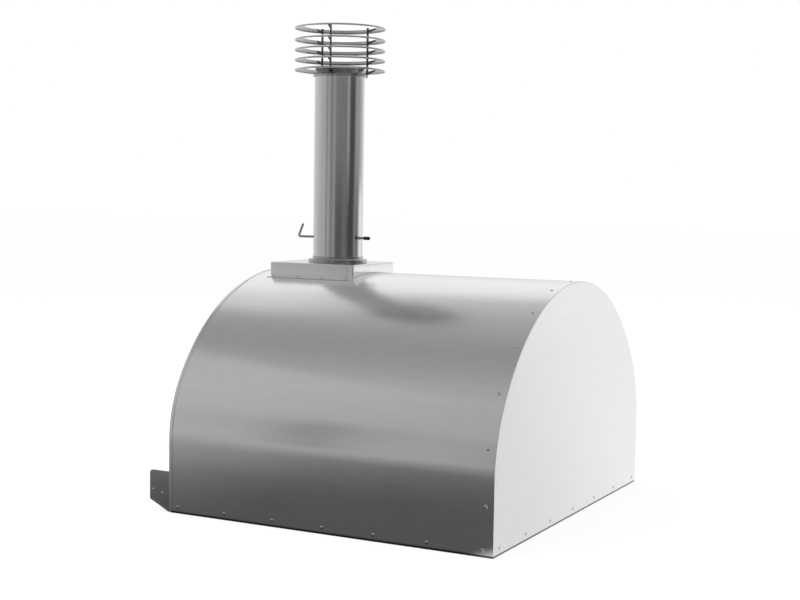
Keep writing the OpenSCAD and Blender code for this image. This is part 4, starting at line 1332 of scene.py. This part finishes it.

# The ground that the steel mirrors: dark at both sides, white behind and grey in front. The dark at both
# sides is a painted floor shadow that lightens away from the body, and is darkest under its foot edge as
# painted shade.
# Each part goes from a distance to a distance, and from a strength to a strength.
ground = {
    "paintedShadowBeside": (1.0, 2.0, 0.095, 0.240), "far": (2.0, 6.0, 0.0, 0.10), "leftGlow": (-2.4, -1.6, 0.16, 0.0),
    "frontGlow": (-1.35, -0.25, 0.13, 0.0), "paintedContactShade": (0.565, 0.585, 0.25, 1.0),
    "rear": (0.25, 0.65, 1.0, 0.82), "front": (-4.0, -0.5, 0.72, 0.30), "toRear": (0.205, 0.325),
    "toFront": (0.10, 0.50),
}


def seenBy(tree):
    rays = addNode(tree, "LightPath").outputs
    both = calc(tree, "MAXIMUM", rays["Is Camera Ray"], rays["Is Glossy Ray"])
    return calc(tree, "MAXIMUM", both, rays["Is Transmission Ray"])


def makeSky(tree, p):
    strength = remap(tree, seenBy(tree), 0.0, 1.0, p["soft"], p["seen"])
    return addNode(tree, "Background", {"Color": (1, 1, 1, 1), "Strength": strength})


def makeFloor(tree, p):
    grey = p["floorGrey"]
    matte = addNode(tree, "BsdfDiffuse", {"Color": (grey, grey, grey, 1)})
    glow = addNode(tree, "Emission", {"Strength": p["floorGlow"]})
    share = calc(tree, "MULTIPLY", seenBy(tree), p["floorShare"])
    return addNode(tree, "MixShader", {0: share, 1: matte.outputs[0], 2: glow.outputs[0]})


# Strengths along a value that goes from -reach to reach
def greys(tree, value, reach, stops):
    share = remap(tree, value, -reach, reach)
    return ramp(tree, share, *[((at + reach) / (2 * reach), (v, v, v)) for at, v in stops])


def around(tree, stops):
    x, y, _ = xyz(tree)
    return greys(tree, calc(tree, "DEGREES", calc(tree, "ARCTAN2", y, x)), 180, stops)


def wallStrength(tree, p):
    height = xyz(tree)["Z"]
    foot, middle, high, slot, bright = (
        around(tree, p[k]) for k in ("foot", "middle", "high", "slot", "bright"))
    strength = between(tree, eased(tree, height, *p["toMiddle"]), foot, middle)
    strength = between(tree, eased(tree, height, *p["toHigh"]), strength, high)
    slot = calc(tree, "MULTIPLY", slot, eased(tree, height, *p["slotTop"]))
    strength = between(tree, slot, strength, (1, 1, 1, 1))
    fade = calc(tree, "MULTIPLY", bright, eased(tree, height, *p["brightFade"]))
    return between(tree, fade, strength, (*[p["brightTop"]] * 3, 1))


def ceilingStrength(tree, p):
    x, y, _ = xyz(tree)
    corner = calc(tree, "MULTIPLY", eased(tree, y, *p["cornerY"]), eased(tree, x, *p["cornerX"]))
    return calc(tree, "ADD", greys(tree, x, p["radius"], p["ceiling"]), corner)


def groundStrength(tree, p):
    x, y, _ = xyz(tree)
    apart = calc(tree, "ABSOLUTE", x)
    reach = mixed(tree, (apart, 1.0), (y, -0.25))
    # dark near the body and lighter away from it: a painted floor shadow seen in the steel
    parts = (
        eased(tree, reach, *p["paintedShadowBeside"]), remap(tree, reach, *p["far"]),
        remap(tree, x, *p["leftGlow"]), eased(tree, y, *p["frontGlow"]),
    )
    # the strip under the body's foot is darkened further as painted shade
    side = calc(tree, "MULTIPLY", mixed(tree, *[(part, 1.0) for part in parts]),
                eased(tree, apart, *p["paintedContactShade"]))
    rear = remap(tree, mixed(tree, (y, 1.0), (x, 0.45)), *p["rear"])
    front = remap(tree, y, *p["front"])
    behind = eased(tree, mixed(tree, (y, 1.0), (apart, -0.25), (x, -0.10)), *p["toRear"])
    before = eased(tree, mixed(tree, (y, -1.0), (apart, -0.75)), *p["toFront"])
    return between(tree, before, between(tree, behind, side, rear), front)


def addStage(name, verts, faces, make, look):
    made = addMesh(name, verts, faces)
    made.data.materials.append(addShader(bpy.data.materials.new(name), make, look))
    made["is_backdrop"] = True
    return made


def makeGlow(tree, look):
    strengthOf, p = look
    return addNode(tree, "Emission", {"Strength": strengthOf(tree, p)})


# Cards are seen in reflections alone: they neither shade the object nor show to the camera
def makeCard(name, verts, faces, *look):
    made = addStage(name, verts, faces, makeGlow, look)
    for ray in ("camera", "diffuse", "shadow", "transmission"):
        setattr(made, "visible_" + ray, False)


def makeLamp(name, lamp):
    data = bpy.data.lights.new(name, "AREA")
    data.size = lamp["size"]
    data.energy = lamp["power"]
    made = addObject(name, data)
    aim = Vector((0, 0, 0.5)) - Vector(lamp["place"])
    made.matrix_world = Matrix.Translation(lamp["place"]) @ aim.to_track_quat("-Z", "Y").to_matrix().to_4x4()
    made.visible_glossy = False


def makeStudio(p):
    bpy.context.scene.world = addShader(bpy.data.worlds.new("studio"), makeSky, p)
    half, steps = p["floorHalf"], p["cardSteps"]
    corners = [(-half, -half, 0), (half, -half, 0), (half, half, 0), (-half, half, 0)]
    addStage("floor", corners, [(0, 1, 2, 3)], makeFloor, p)
    verts = circle(p["radius"], 0.001, steps) + circle(p["radius"], p["top"], steps)
    wall = [(i, (i + 1) % steps, steps + (i + 1) % steps, steps + i) for i in range(steps)]
    disc = [tuple(range(steps))]
    makeCard("studioWall", verts, wall, wallStrength, p)
    makeCard("studioCeiling", verts[steps:], disc, ceilingStrength, p)
    makeCard("studioGround", verts[:steps], disc, groundStrength, ground)
    for k, lamp in enumerate(p["lamps"]):
        makeLamp("lamp" + str(k), lamp)


makeStudio(studio)
print("studio made")

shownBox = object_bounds()
for corner, shown, cad in zip(("low", "high"), shownBox, cadBox):
    print("size", corner, [round(a - b, 5) for a, b in zip(shown, cad)])
